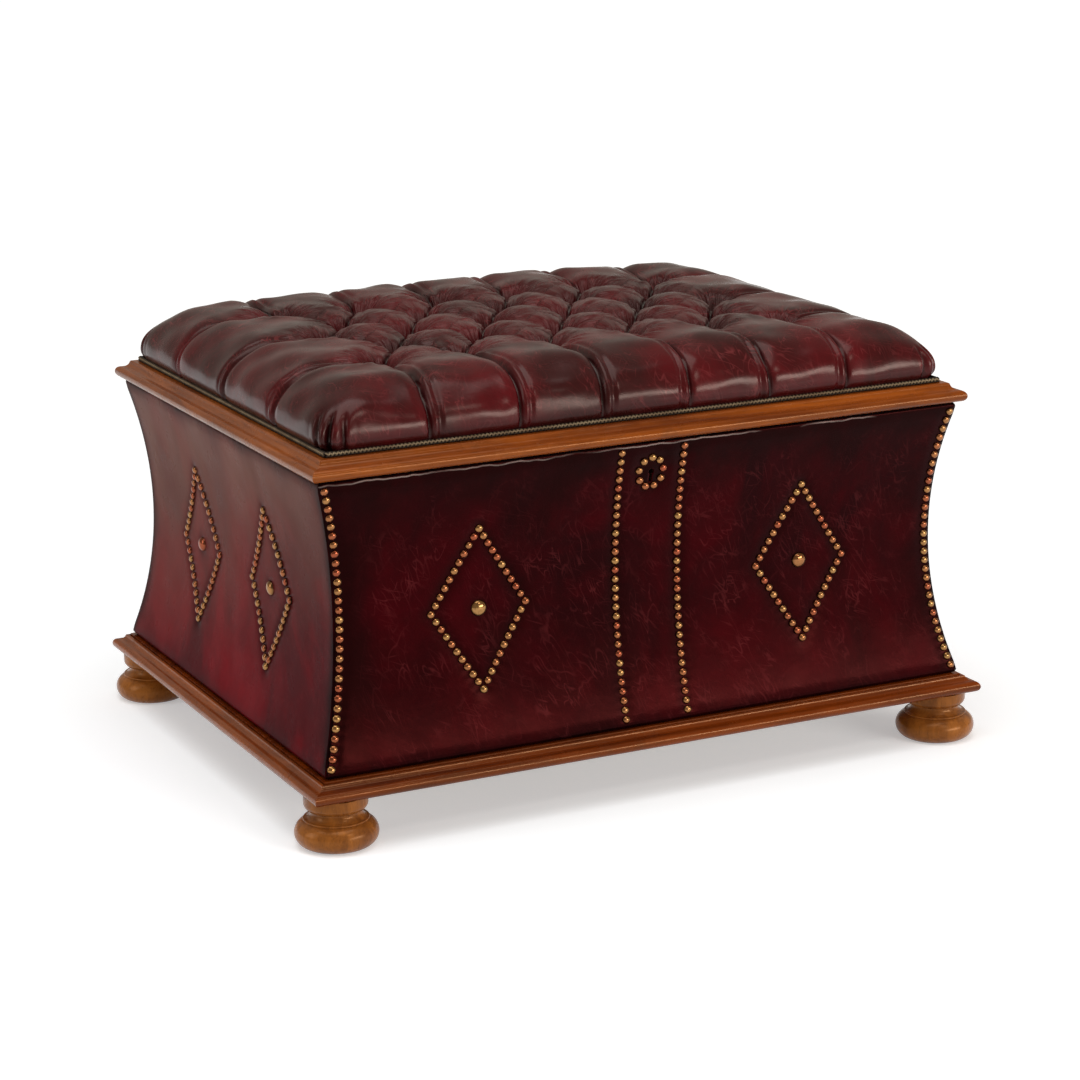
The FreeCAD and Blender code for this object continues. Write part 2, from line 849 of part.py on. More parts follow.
def ring_sector(inner, outer, x, start, end):
    """Part of a flat ring round the hinge axis. Angles run down from the front, in degrees."""

    def at(radius, angle):
        a = math.radians(angle)
        return (hinge_y - radius * math.cos(a), hinge_level - radius * math.sin(a))

    middle = (start + end) / 2
    points = [
        at(inner, start),
        at(outer, start),
        (at(outer, middle), at(outer, end)),
        at(inner, end),
        (at(inner, middle), at(inner, start)),
    ]
    face = outline(points, lambda y, level: Vector(x[0], y, level))
    return face.extrude(Vector(x[1] - x[0], 0, 0))


def stay_foot_y():
    return hinge_y - math.sqrt(stay_radius**2 - (lid_bottom - hinge_level) ** 2)


def stay_screw_places(sign):
    x = sign * (stay_x - stay_foot_width / 2)
    return [(x, y) for y in around(stay_foot_y(), stay_screw_spacing)]


def stay_arm(sign):
    """An arc with a foot screwed under the lid and a stop at its lower end."""
    across = sorted((sign * stay_x, sign * (stay_x + stay_thickness)))
    top_angle = math.degrees(math.asin((hinge_level - lid_bottom + stay_foot_thickness / 2) / stay_radius))
    bar = ring_sector(stay_inner, stay_outer, across, top_angle, stay_sweep)
    stop_angle = stay_sweep - math.degrees(stay_stop_height / stay_radius)
    stop = ring_sector(stay_inner - stay_stop, stay_outer + stay_stop, across, stop_angle, stay_sweep)
    foot_x = sorted((sign * (stay_x + stay_thickness), sign * (stay_x - stay_foot_width)))
    plate = box(foot_x, around(stay_foot_y(), stay_foot_length), (stay_foot_low, lid_bottom))
    holes = [screw_hole(x, y, stay_foot_low, False) for x, y in stay_screw_places(sign)]
    return single(bar.fuse([stop, plate]).cut(holes).removeSplitter())


def stay_guide(sign):
    """A slotted block on the lining that the arc slides through."""
    top = rim - guide_drop
    wall = well_half_length - lining
    across = sorted((sign * wall, sign * (stay_x - guide_wall)))
    middle = hinge_y - math.sqrt(stay_radius**2 - (top - guide_height / 2 - hinge_level) ** 2)
    long = stay_bar + 2 * (guide_wall + guide_play)
    block = box(across, around(middle, long), (top - guide_height, top))
    slot_x = sorted((sign * (stay_x - guide_play), sign * (stay_x + stay_thickness + guide_play)))
    slot = ring_sector(stay_inner - guide_play, stay_outer + guide_play, slot_x, 0, stay_sweep)
    return single(block.cut(slot))


# Tufted cushion, built as a quarter and mirrored

cushion_half_length = half_length + cushion_foot + cushion_bulge
cushion_half_depth = half_depth + cushion_foot + cushion_bulge
tuft_half_pitch = (cushion_half_length - tuft_margin_long) / (tuft_columns - 1)
tuft_pitch = 2 * (cushion_half_depth - tuft_margin_deep) / (tuft_rows - 1)


def cushion_side(inset):
    """The cushion's side from its foot, over its bulge, to where the flat top starts."""
    small = cushion_roll - inset
    roll_level = cushion_top - cushion_roll
    foot_out = -cushion_bulge - inset
    bow = (-cushion_bulge * side_bow_share - inset, (lid_top + roll_level) / 2)
    swell = (-cushion_roll + small * diagonal_share, roll_level + small * diagonal_share)
    return [(foot_out, lid_top), (bow, (-inset, roll_level)), (swell, (-cushion_roll, cushion_top - inset))]


def cushion_quarter(inset):
    """A quarter of the plain cushion: two straight stretches and one round corner."""
    x, y, r = cushion_half_length, cushion_half_depth, cushion_corner
    top = cushion_top - inset

    def stretch(across, place, sweep):
        return outline(cushion_side(inset) + [(-across, top), (-across, lid_top)], place).extrude(sweep)

    long_side = stretch(y, lambda out, level: Vector(0, y + out, level), Vector(x - r, 0, 0))
    short_side = stretch(x, lambda out, level: Vector(x + out, 0, level), Vector(0, y - r, 0))
    section = cushion_side(inset) + [(-r, top), (-r, lid_top)]
    profile = outline(section, lambda out, level: Vector(x + out, y - r, level))
    corner = profile.revolve(Vector(x - r, y - r, 0), Vector(0, 0, 1), 90)
    return long_side.fuse([short_side, corner]).removeSplitter()


def channel(start, end, shoulder, depth, inset):
    """A sewn channel with rounded shoulders, which meet in a fold."""
    along = Vector(end[0] - start[0], end[1] - start[1], 0)
    across = Vector(-along.y, along.x, 0).normalize()
    top = cushion_top - inset
    above = cushion_top + overrun
    fold = fold_gap / 2 + inset
    bottom = cushion_top - depth - inset
    shift = inset * diagonal_share
    swell = (shoulder * shoulder_share[0] + shift, cushion_top - depth * shoulder_share[1] - shift)
    points = [
        (-shoulder, above),
        (-shoulder, top),
        ((-swell[0], swell[1]), (-fold, bottom)),
        (fold, bottom),
        (swell, (shoulder, top)),
        (shoulder, above),
    ]
    profile = outline(points, lambda u, level: Vector(*start, level) + across * u)
    return profile.extrude(along)


def dimple(x, y, inset):
    """The hollow that one tuft pulls into the top."""
    inner = button_radius + button_gap + inset
    mouth = tuft_mouth + inset
    throat = inner + (tuft_mouth - inner) * throat_share[0]
    points = [
        (0, cushion_top - tuft_depth - inset),
        (inner, cushion_top - tuft_depth - inset),
        (throat, cushion_top - tuft_depth * throat_share[1] - inset),
        (mouth, cushion_top - inset),
        (mouth, cushion_top + overrun),
        (0, cushion_top + overrun),
    ]
    profile = outline(points, lambda r, level: Vector(x + r, y, level))
    return profile.revolve(Vector(x, y, 0), Vector(0, 0, 1), 360)


def tuft_lattice():
    """Tufts as (half steps along, rows) from the middle, with every other row shifted."""
    lattice = []
    edge_row_number = (tuft_rows - 1) // 2
    for row in range(-edge_row_number, edge_row_number + 1):
        columns = tuft_columns - (row + edge_row_number) % 2
        lattice += [(2 * i - (columns - 1), row) for i in range(columns)]
    return lattice


def tuft_place(tuft):
    return tuft[0] * tuft_half_pitch, tuft[1] * tuft_pitch


def near_quarter(points):
    """Whether anything between the points can reach the quarter that is modelled."""
    return max(p[0] for p in points) > -tuft_shoulder and max(p[1] for p in points) > -tuft_shoulder


def diagonal_lines():
    """The two ends of each sewn line that runs slanting through the tufts."""
    lines = []
    for lean in (1, -1):
        names = sorted({i - lean * row for i, row in tuft_lattice()})
        for name in names:
            tufts = sorted((t for t in tuft_lattice() if t[0] - lean * t[1] == name), key=lambda t: t[1])
            if len(tufts) > 1:
                lines.append((tuft_place(tufts[0]), tuft_place(tufts[-1])))
    return [line for line in lines if near_quarter(line)]


def border_tufts():
    """The outermost tufts of the quarter, with the edge point that each is pleated to."""
    last_row = (tuft_rows - 1) // 2
    last_column = tuft_columns - 1
    pleats = []
    for tuft in tuft_lattice():
        x, y = tuft_place(tuft)
        if tuft[1] == last_row and x > -tuft_shoulder:
            pleats.append(((x, y), (x, cushion_half_depth + overrun)))
        if tuft[0] == last_column and y > -tuft_shoulder:
            pleats.append(((x, y), (cushion_half_length + overrun, y)))
    return pleats


def side_fold(edge, inset):
    """A shallow upright fold where a pleat runs down the cushion's side."""
    start, end = Vector(*edge[0], 0), Vector(*edge[1], 0)
    outward = (end - start).normalize()
    across = Vector(-outward.y, outward.x, 0)
    line = end - outward * overrun + Vector(0, 0, lid_top - overrun)
    wide, deep = side_fold_width / 2 + inset * diagonal_share, side_fold_depth + inset
    corners = [(-wide, overrun), (-wide, 0), (0, -deep), (wide, 0), (wide, overrun)]
    face = outline(corners, lambda u, out: line + across * u + outward * out)
    return face.extrude(Vector(0, 0, cushion_height + 2 * overrun))


def corner_line():
    """From the corner tuft to the cushion's corner, where the leather is gathered."""
    last = (tuft_columns - 1, (tuft_rows - 1) // 2)
    return tuft_place(last), (cushion_half_length, cushion_half_depth)


def tufted_quarter(inset):
    """A quarter of the cushion with its tufts, pleats and folds, that much inside its leather."""
    tools = [channel(a, b, tuft_shoulder, channel_depth, inset) for a, b in diagonal_lines()]
    tools += [dimple(*place, inset) for place in map(tuft_place, tuft_lattice()) if near_quarter([place])]
    pleats = border_tufts()
    tools += [channel(a, b, border_shoulder, border_depth, inset) for a, b in pleats]
    tools += [side_fold(edge, inset) for edge in pleats + [corner_line()]]
    return single(cushion_quarter(inset).cut(tools))


def whole(quarter):
    """Four mirrored copies of a quarter, joined."""
    middle = Vector(0, 0, 0)
    half_cushion = quarter.fuse(quarter.mirror(middle, Vector(1, 0, 0)))
    return single(half_cushion.fuse(half_cushion.mirror(middle, Vector(0, 1, 0))).removeSplitter())


def tie_holes(low, high):
    tall = high - low
    places = [tuft_place(t) for t in tuft_lattice()]
    return [Part.makeCylinder(tie_radius + tie_gap, tall, Vector(x, y, low)) for x, y in places]


def button(x, y):
    """A covered button that lies in the bottom of a tuft."""
    bottom = cushion_top - tuft_depth
    edge = bottom + button_rise / 2
    out, up = cap_middle(button_radius, button_rise / 2)
    points = [
        (0, bottom),
        (button_radius, bottom),
        (button_radius, edge),
        ((out, edge + up), (0, bottom + button_rise)),
    ]
    profile = outline(points, lambda r, level: Vector(x + r, y, level))
    return profile.revolve(Vector(x, y, 0), Vector(0, 0, 1), 360)


def tie(x, y, panel_low):
    """Twine from a button down to a knot under the lid's panel."""
    bottom = cushion_top - tuft_depth
    line = Part.makeCylinder(tie_radius, bottom - panel_low, Vector(x, y, panel_low))
    knot = Part.makeCylinder(knot_radius, knot_height, Vector(x, y, panel_low - knot_height))
    return single(line.fuse(knot).removeSplitter())


def case_nodes():
    """The box below the lid, apart from its hardware and nails."""
    level, ledge = (foot_height, base_top), (base_top - base_panel, base_top)
    long_rails, short_rails = frame_rails(base_edge, base_frame_inner, level, ledge)
    save("base_frame_long_rails", *[single(r.cut(foot_holes())) for r in long_rails])
    save("base_frame_short_rails", *[single(r.cut(foot_holes())) for r in short_rails])
    save("base_panel", panel(base_frame_inner, ledge))
    for name, place in foot_places().items():
        save("foot_" + name, foot(place))
    boards = inner_boards()
    rim_rails, lower_rails, uprights = [], [], []
    pockets = hinge_pockets(False)
    for side in SIDES:
        nose = case_spread + base_overhang
        strip = moulding(side, foot_height, base_edge, nose, base_cove, base_shoulder, True)
        save("base_moulding_" + side, strip)
        cover, board, wood = leather_side(side), skin_side(side), boards[side]
        rail = shaped_rail(side, rim_wood - rail_height, rim_wood)
        if side == "front":
            way = keyhole(lock_y[0])
            cover = cover.cut([way, lock_leather_space()])
            board, rail = board.cut(way), rail.cut(way)
            wood = wood.cut(lock_space())
        if side == "back":
            cover, board, wood, rail = [s.cut(pockets) for s in (cover, board, wood, rail)]
        save("leather_" + side, single(cover))
        save("bent_board_" + side, single(board))
        save("inner_board_" + side, single(wood))
        rim_rails.append(single(rail))
        lower_rails.append(single(shaped_rail(side, base_top + leather, base_top + leather + rail_height)))
        uprights += ribs(side)
    save("rim_rails", *rim_rails)
    save("lower_rails", *lower_rails)
    save("ribs", *uprights)
    panels = lining_panels()
    panels[0] = single(panels[0].cut(lock_space()))
    save("well_lining", *panels)
    x, y = well_half_length, well_half_depth
    save("floor_lining", box((-x, x), (-y, y), (base_top, base_top + lining)))


def lid_nodes():
    """The lid's frame, mouldings and upholstery."""
    pockets = hinge_pockets(True)
    plate_level = (lid_bottom - overrun, lid_bottom + link_plate_thickness)
    plate = box(around(lock_x, link_plate_length), lock_y, plate_level)
    panel_low = lid_top - lid_panel
    level, ledge = (lid_bottom, lid_top), (panel_low, lid_top)
    long_rails, short_rails = frame_rails(lid_frame_edge, lid_frame_inner, level, ledge)
    save("lid_frame_long_rails", *[single(r.cut(pockets + [plate])) for r in long_rails])
    save("lid_frame_short_rails", *short_rails)
    save("lid_panel", single(panel(lid_frame_inner, ledge).cut(tie_holes(panel_low, lid_top))))
    lining_high = panel_low - knot_height - soft_gap
    x, y = half_length + lid_frame_inner, half_depth + lid_frame_inner
    save("lid_lining", box((-x, x), (-y, y), (lining_high - lid_lining, lining_high)))
    for side in SIDES:
        piece = moulding(side, lid_bottom, lid_frame_edge, lid_overhang, lid_cove, lid_shoulder, False)
        save("lid_moulding_" + side, single(piece.cut(pockets)) if side == "back" else piece)
    middle = ((gimp_inner + gimp_outer) / 2, lid_top + gimp_rise)
    bead = [(gimp_inner, lid_top), (middle, (gimp_outer, lid_top))]
    strips = [mitred(side, bead) for side in SIDES]
    save("gimp", single(strips[0].fuse(strips[1:])))
    outside, inside = tufted_quarter(0), tufted_quarter(leather)
    bottom = cushion_top - tuft_depth
    cover = whole(outside.cut(inside))
    save("cushion_cover", single(cover.cut(tie_holes(bottom - leather - overrun, bottom + overrun))))
    stuffing = whole(tufted_quarter(leather + soft_gap))
    save("stuffing", single(stuffing.cut(tie_holes(lid_top - overrun, bottom))))
    places = [tuft_place(t) for t in tuft_lattice()]
    save("tuft_buttons", *[button(*place) for place in places])
    save("tuft_ties", *[tie(*place, panel_low) for place in places])


def hardware_nodes():
    """Hinges, lock, stays and their screws."""
    save("hinge_leaves_case", *[hinge_leaf_solid(x, box_leaf, 0) for x in hinge_places])
    save("hinge_leaves_lid", *[hinge_leaf_solid(x, lid_leaf, 1) for x in hinge_places])
    save("hinge_pins", *[hinge_pin(x) for x in hinge_places])
    hinge_screws = [p for x in hinge_places for p in hinge_screw_places(x)]
    save(
        "case_screws",
        *[screw(x, y, box_leaf[1], True) for x, y in hinge_screws],
        *[screw(x, y, lock_top, True) for x, y in lock_screw_places()],
    )
    save(
        "lid_screws",
        *[screw(x, y, lid_leaf[0], False) for x, y in hinge_screws],
        *[screw(x, y, lid_bottom, False) for x, y in link_screw_places()],
        *[screw(x, y, stay_foot_low, False) for s in (-1, 1) for x, y in stay_screw_places(s)],
    )
    save("lock_case", lock_case())
    save("lock_cap", lock_cap())
    save("lock_bolt", lock_bolt())
    save("lock_link_plate", link_plate())
    save("lid_stays", stay_arm(-1), stay_arm(1))
    save("stay_guides", stay_guide(-1), stay_guide(1))


os.makedirs("parts", exist_ok=True)
case_nodes()
nail_nodes()
lid_nodes()
hardware_nodes()
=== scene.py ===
# The looks of a box ottoman: burgundy leather, a deep-buttoned cushion, mahogany mouldings and brass nails.
# Metres, X along the front, Y from front to back, Z up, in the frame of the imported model.
import math

import bmesh
import bpy
import numpy as np
from mathutils import Matrix, Vector


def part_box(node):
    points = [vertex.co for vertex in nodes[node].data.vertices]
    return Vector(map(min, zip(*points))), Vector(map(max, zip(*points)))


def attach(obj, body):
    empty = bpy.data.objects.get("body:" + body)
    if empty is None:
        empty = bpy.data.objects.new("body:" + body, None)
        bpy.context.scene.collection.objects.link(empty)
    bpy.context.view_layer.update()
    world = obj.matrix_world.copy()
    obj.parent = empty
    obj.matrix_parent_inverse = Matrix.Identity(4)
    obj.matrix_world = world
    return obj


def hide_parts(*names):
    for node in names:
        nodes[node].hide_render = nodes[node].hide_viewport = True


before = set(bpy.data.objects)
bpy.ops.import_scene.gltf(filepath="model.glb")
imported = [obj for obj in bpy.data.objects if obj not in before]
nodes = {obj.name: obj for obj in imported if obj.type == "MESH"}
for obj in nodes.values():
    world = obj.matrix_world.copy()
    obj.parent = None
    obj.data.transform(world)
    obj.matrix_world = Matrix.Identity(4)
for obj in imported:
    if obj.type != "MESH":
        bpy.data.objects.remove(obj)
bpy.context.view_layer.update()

SIDES = ("front", "right", "back", "left")

# Photograph: a square picture of 1080 pixels, whose perspective was fitted to the mouldings, nails and feet
CAMERA_PLACE = (-1.5051, -3.1150, 1.1318)
CAMERA_TURN = -25.965  # degrees, from looking along +Y
CAMERA_DIP = 14.817
CAMERA_ROLL = -0.914
CAMERA_LENS = 100.6
SENSOR = 36

# Case leather
SPREAD = 0.005  # how much further out the leather stands at its foot than at the rim
HOLLOW = 0.0235
EDGE_ROUND = 0.0051
WALL = 0.044
LEATHER = 0.0015
CASE_STEP = 0.0026  # spacing of the leather's mesh
PUFF = 0.0013  # how far the leather stands out between the nails
NAIL_PULL = 0.009  # reach of a nail's dimple
NAIL_SHADE = 0.0105  # reach of the darkening about a nail, dark wax with painted shade
NAIL_FAR = 0.05  # beyond this a nail is left out
HEM_WIDTH = 0.0105  # folded edge under the nails of the corners
HEM_RISE = 0.0008
WAVE_HEIGHT = 0.00035
EDGE_FADE = 0.016  # over this much at the rim and the foot the puffs and dimples flatten out
CREASE_COLOUR = (0.30, 0.050, 0.055, 1.0)
# Colour of the sheen painted on the case's sides
PAINTED_SHEEN_COLOUR = (0.190, 0.086, 0.062, 1.0)
# Colour of a highlight painted as a thin light line just under the case front's rim
RIM_HIGHLIGHT_COLOUR = (0.30, 0.24, 0.22, 1.0)
RIM_HIGHLIGHT_SWAY = 0.009  # how far the painted highlight under the rim wanders up and down

# What the lock, the key and the hinges need cut out of the leather
KEYHOLE_X = 0.0015
KEYHOLE_LEVEL = 0.363
KEYHOLE_RADIUS = 0.00325
KEYHOLE_HALF_SLOT = 0.00175
KEYHOLE_TAIL = 0.012
LOCK_NOTCH_X = (-0.0391, 0.0421)
LOCK_NOTCH_FRONT = -0.2753
LOCK_NOTCH_DEPTH = 0.0026
HINGE_PLACES = (-0.25, 0.25)
HINGE_HALF = 0.0386
HINGE_POCKET = (0.2664, 0.4)  # from front to back
HINGE_POCKET_DEPTH = 0.0019

# Nails
NAIL_RADIUS = 0.00475
NAIL_RISE = 0.0037
LARGE_RADIUS = 0.009
LARGE_RISE = 0.0055
LARGE_NEAR = 0.05  # a large nail this close to a side belongs to it
NAIL_TILT = 4.0  # degrees

# Wood and metal
PORE_COLOUR = (0.05, 0.014, 0.005, 1.0)
DIRT_COLOUR = (0.06, 0.018, 0.006, 1.0)
TARNISH_COLOUR = (0.09, 0.05, 0.03, 1.0)

# Creases of the waxed leather
HAIR_SCALE = 32.0
HAIR_STRETCH = (4.2, 0.55, 0.55)
HAIR_ENDS = (1.6, 1.1, 1.1)
HAIR_TURNS = ((0.0, 0.3, 0.2), (0.4, 0.1, 1.0), (0.2, 0.5, 1.9), (0.6, 0.9, 2.6), (0.1, 1.2, 0.6))

# Cushion
TUFT_STEP_X = 0.050
TUFT_STEP_Y = 0.075
TUFT_COLUMNS = 6
TUFT_ROWS = 5
STEPS_PER_TUFT = 30  # mesh steps from one tuft to the next, so that the mesh follows the pleats
TOP_STEPS_X = 186  # mesh steps from the middle to where the top starts to roll over
TOP_STEPS_Y = 91
ROLL_DROP = 0.058  # how far the top rolls down before the side runs straight to the gimp
SIDE_LEAN = 0.009  # how far the side draws in from its bulge to the gimp
SIDE_STEP = 0.0021
CORNER_STEPS = 90
PILLOW_REACH = 0.0416  # from a pleat to the middle of a pillow
PLEAT_DEPTH = 0.015
TUFT_DEPTH = 0.036
TUFT_FLOOR = 0.008
TUFT_REACH = 0.032
SLIT_DEPTH = 0.0035
SLIT_WIDTH = 0.0016
LIP_RISE = 0.0022
LIP_OFFSET = 0.006
LIP_WIDTH = 0.0028
WRINKLE_HEIGHT = 0.0011
WANDER = 0.0022  # how far the pleats wander from their straight lines
CROWN = 0.005  # how much higher the cushion stands in its middle
RIGHT_FALL = 0.007  # how much lower the cushion lies at its ends than in its middle
LEFT_FALL = 0.004
FRONT_PLACES = (-0.25, -0.15, -0.05, 0.05, 0.15, 0.25)  # where the front pleats start
FRONT_FAN = (-0.007, -0.002, -0.0035, 0.004, 0.005, 0.0035)  # how far they move sideways on their way down
OUT_PLACES = (0.0, 0.05, 0.09, 0.13, 0.165, 0.195)  # distances from the outermost tufts
OUT_DEPTHS = (1.0, 0.80, 0.62, 0.42, 0.28, 0.12)  # share of a border pleat's depth left at each
GATHER_DEPTH = 0.0092  # folds at the corners
GATHER_PITCH = 11  # degrees round the corner from fold to fold
GATHER_FAN = 14  # degrees to each side of the corner that the folds reach

# Gimp braid
GIMP_HALF = 0.003
BRAID_PITCH = 0.0135
BRAID_WIDTH = 0.0021
BRAID_RISE = 0.0008
STRAND_RADIUS = 0.00135
BRAID_SLOPE = 62  # degrees up from the moulding, as the braid leans on the cushion

# Floor and world
FLOOR_REACH = 120.0
GLOW_PLACES = (0.8, 3.5)  # distances from the middle between which the floor's glow grows
GLOW = (0.38, 0.72)
WORLD_STRENGTH = 0.40


# Mesh helpers


def ripple(points, wavelength, seed, count=9):
    """Smooth noise of about -1 to 1 from waves in scattered directions."""
    random = np.random.default_rng(seed)
    total = np.zeros(len(points))
    for _ in range(count):
        direction = random.normal(size=3)
        direction /= np.linalg.norm(direction)
        pitch = wavelength * random.uniform(0.6, 1.6)
        total += np.sin(points @ direction * 2 * math.pi / pitch + random.uniform(0, 2 * math.pi))
    return total / math.sqrt(count)


def smooth(values, low, high):
    """0 below low and 1 above high, with an eased ramp between them."""
    t = np.clip((values - low) / (high - low), 0, 1)
    return t * t * (3 - 2 * t)


def grid_faces(rows, columns, start=0):
    corner = np.arange(rows * columns).reshape(rows, columns) + start
    quads = np.stack([corner[:-1, :-1], corner[:-1, 1:], corner[1:, 1:], corner[1:, :-1]], axis=-1)
    return quads.reshape(-1, 4)


def new_piece(name, points, faces, material, attributes=None):
    """A smooth-shaded mesh object, with numbers stored at its vertices for the material."""
    mesh = bpy.data.meshes.new(name)
    mesh.from_pydata(points.tolist(), [], [list(map(int, f)) for f in faces])
    for key, values in (attributes or {}).items():
        mesh.attributes.new(key, "FLOAT", "POINT").data.foreach_set("value", values.astype(np.float32))
    mesh.shade_smooth()
    mesh.materials.append(material)
    piece = bpy.data.objects.new(name, mesh)
    bpy.context.scene.collection.objects.link(piece)
    return piece


def apply_modifiers(piece):
    """Makes what the modifiers do part of the piece's mesh."""
    graph = bpy.context.evaluated_depsgraph_get()
    mesh = bpy.data.meshes.new_from_object(piece.evaluated_get(graph))
    piece.modifiers.clear()
    piece.data = mesh


def islands(node):
    """The middle of each separate solid in a CAD node."""
    work = bmesh.new()
    work.from_mesh(nodes[node].data)
    bmesh.ops.remove_doubles(work, verts=work.verts, dist=1e-6)
    middles, seen = [], set()
    for first in work.verts:
        if first.index in seen:
            continue
        seen.add(first.index)
        stack, found = [first], []
        while stack:
            vertex = stack.pop()
            found.append(vertex.co)
            for edge in vertex.link_edges:
                other = edge.other_vert(vertex)
                if other.index not in seen:
                    seen.add(other.index)
                    stack.append(other)
        low = Vector(map(min, *found))
        high = Vector(map(max, *found))
        middles.append((low + high) / 2)
    work.free()
    return np.array(middles)


# Shader helpers


def add(tree, kind, inputs=None, **settings):
    """A shader node with its settings, and with values or links on its inputs."""
    made = tree.nodes.new("ShaderNode" + kind)
    for key, value in settings.items():
        setattr(made, key, value)
    for key, value in (inputs or {}).items():
        if isinstance(value, bpy.types.NodeSocket):
            tree.links.new(value, made.inputs[key])
        else:
            made.inputs[key].default_value = value
    return made


def blend_colours(tree, factor, first, second):
    return add(tree, "Mix", {0: factor, 6: first, 7: second}, data_type="RGBA").outputs[2]


def calculate(tree, operation, first, second=0.0):
    return add(tree, "Math", {0: first, 1: second}, operation=operation).outputs[0]


def spread(tree, value, low, high, to_low=0.0, to_high=1.0):
    """A value stretched from one range to another, and kept inside it."""
    inputs = {"Value": value, "From Min": low, "From Max": high, "To Min": to_low, "To Max": to_high}
    return add(tree, "MapRange", inputs).outputs[0]


def clouds(tree, vector, scale, detail=4.0, roughness=0.55, distortion=0.0):
    inputs = {"Vector": vector, "Scale": scale, "Detail": detail, "Roughness": roughness, "Distortion": distortion}
    return add(tree, "TexNoise", inputs).outputs[0]


def stretched(tree, vector, scale):
    return add(tree, "Mapping", {"Vector": vector, "Scale": scale}).outputs[0]


def new_material(name):
    material = bpy.data.materials.new(name)
    material.use_nodes = True
    tree = material.node_tree
    place = add(tree, "TexCoord").outputs["Object"]
    return material, tree, tree.nodes["Principled BSDF"], place


def join(tree, output, shader, name):
    tree.links.new(output, shader.inputs[name])


def bump(tree, height, strength, distance, under=None):
    inputs = {"Height": height, "Strength": strength, "Distance": distance}
    if under:
        inputs["Normal"] = under
    return add(tree, "Bump", inputs).outputs[0]


def hairs(tree, place, turn, seed):
    """Hair-thin, nearly straight lines that run one way, as where waxed leather has creased."""
    turned = add(tree, "Mapping", {"Vector": place, "Rotation": turn, "Location": (seed, seed, seed)}).outputs[0]
    height = clouds(tree, stretched(tree, turned, HAIR_STRETCH), HAIR_SCALE, 1.0)
    away = calculate(tree, "ABSOLUTE", calculate(tree, "SUBTRACT", height, 0.5))
    ends = spread(tree, clouds(tree, stretched(tree, turned, HAIR_ENDS), HAIR_SCALE, 1.0), 0.47, 0.56)
    return calculate(tree, "MULTIPLY", spread(tree, away, 0.002, 0.017, 1.0, 0.0), ends)


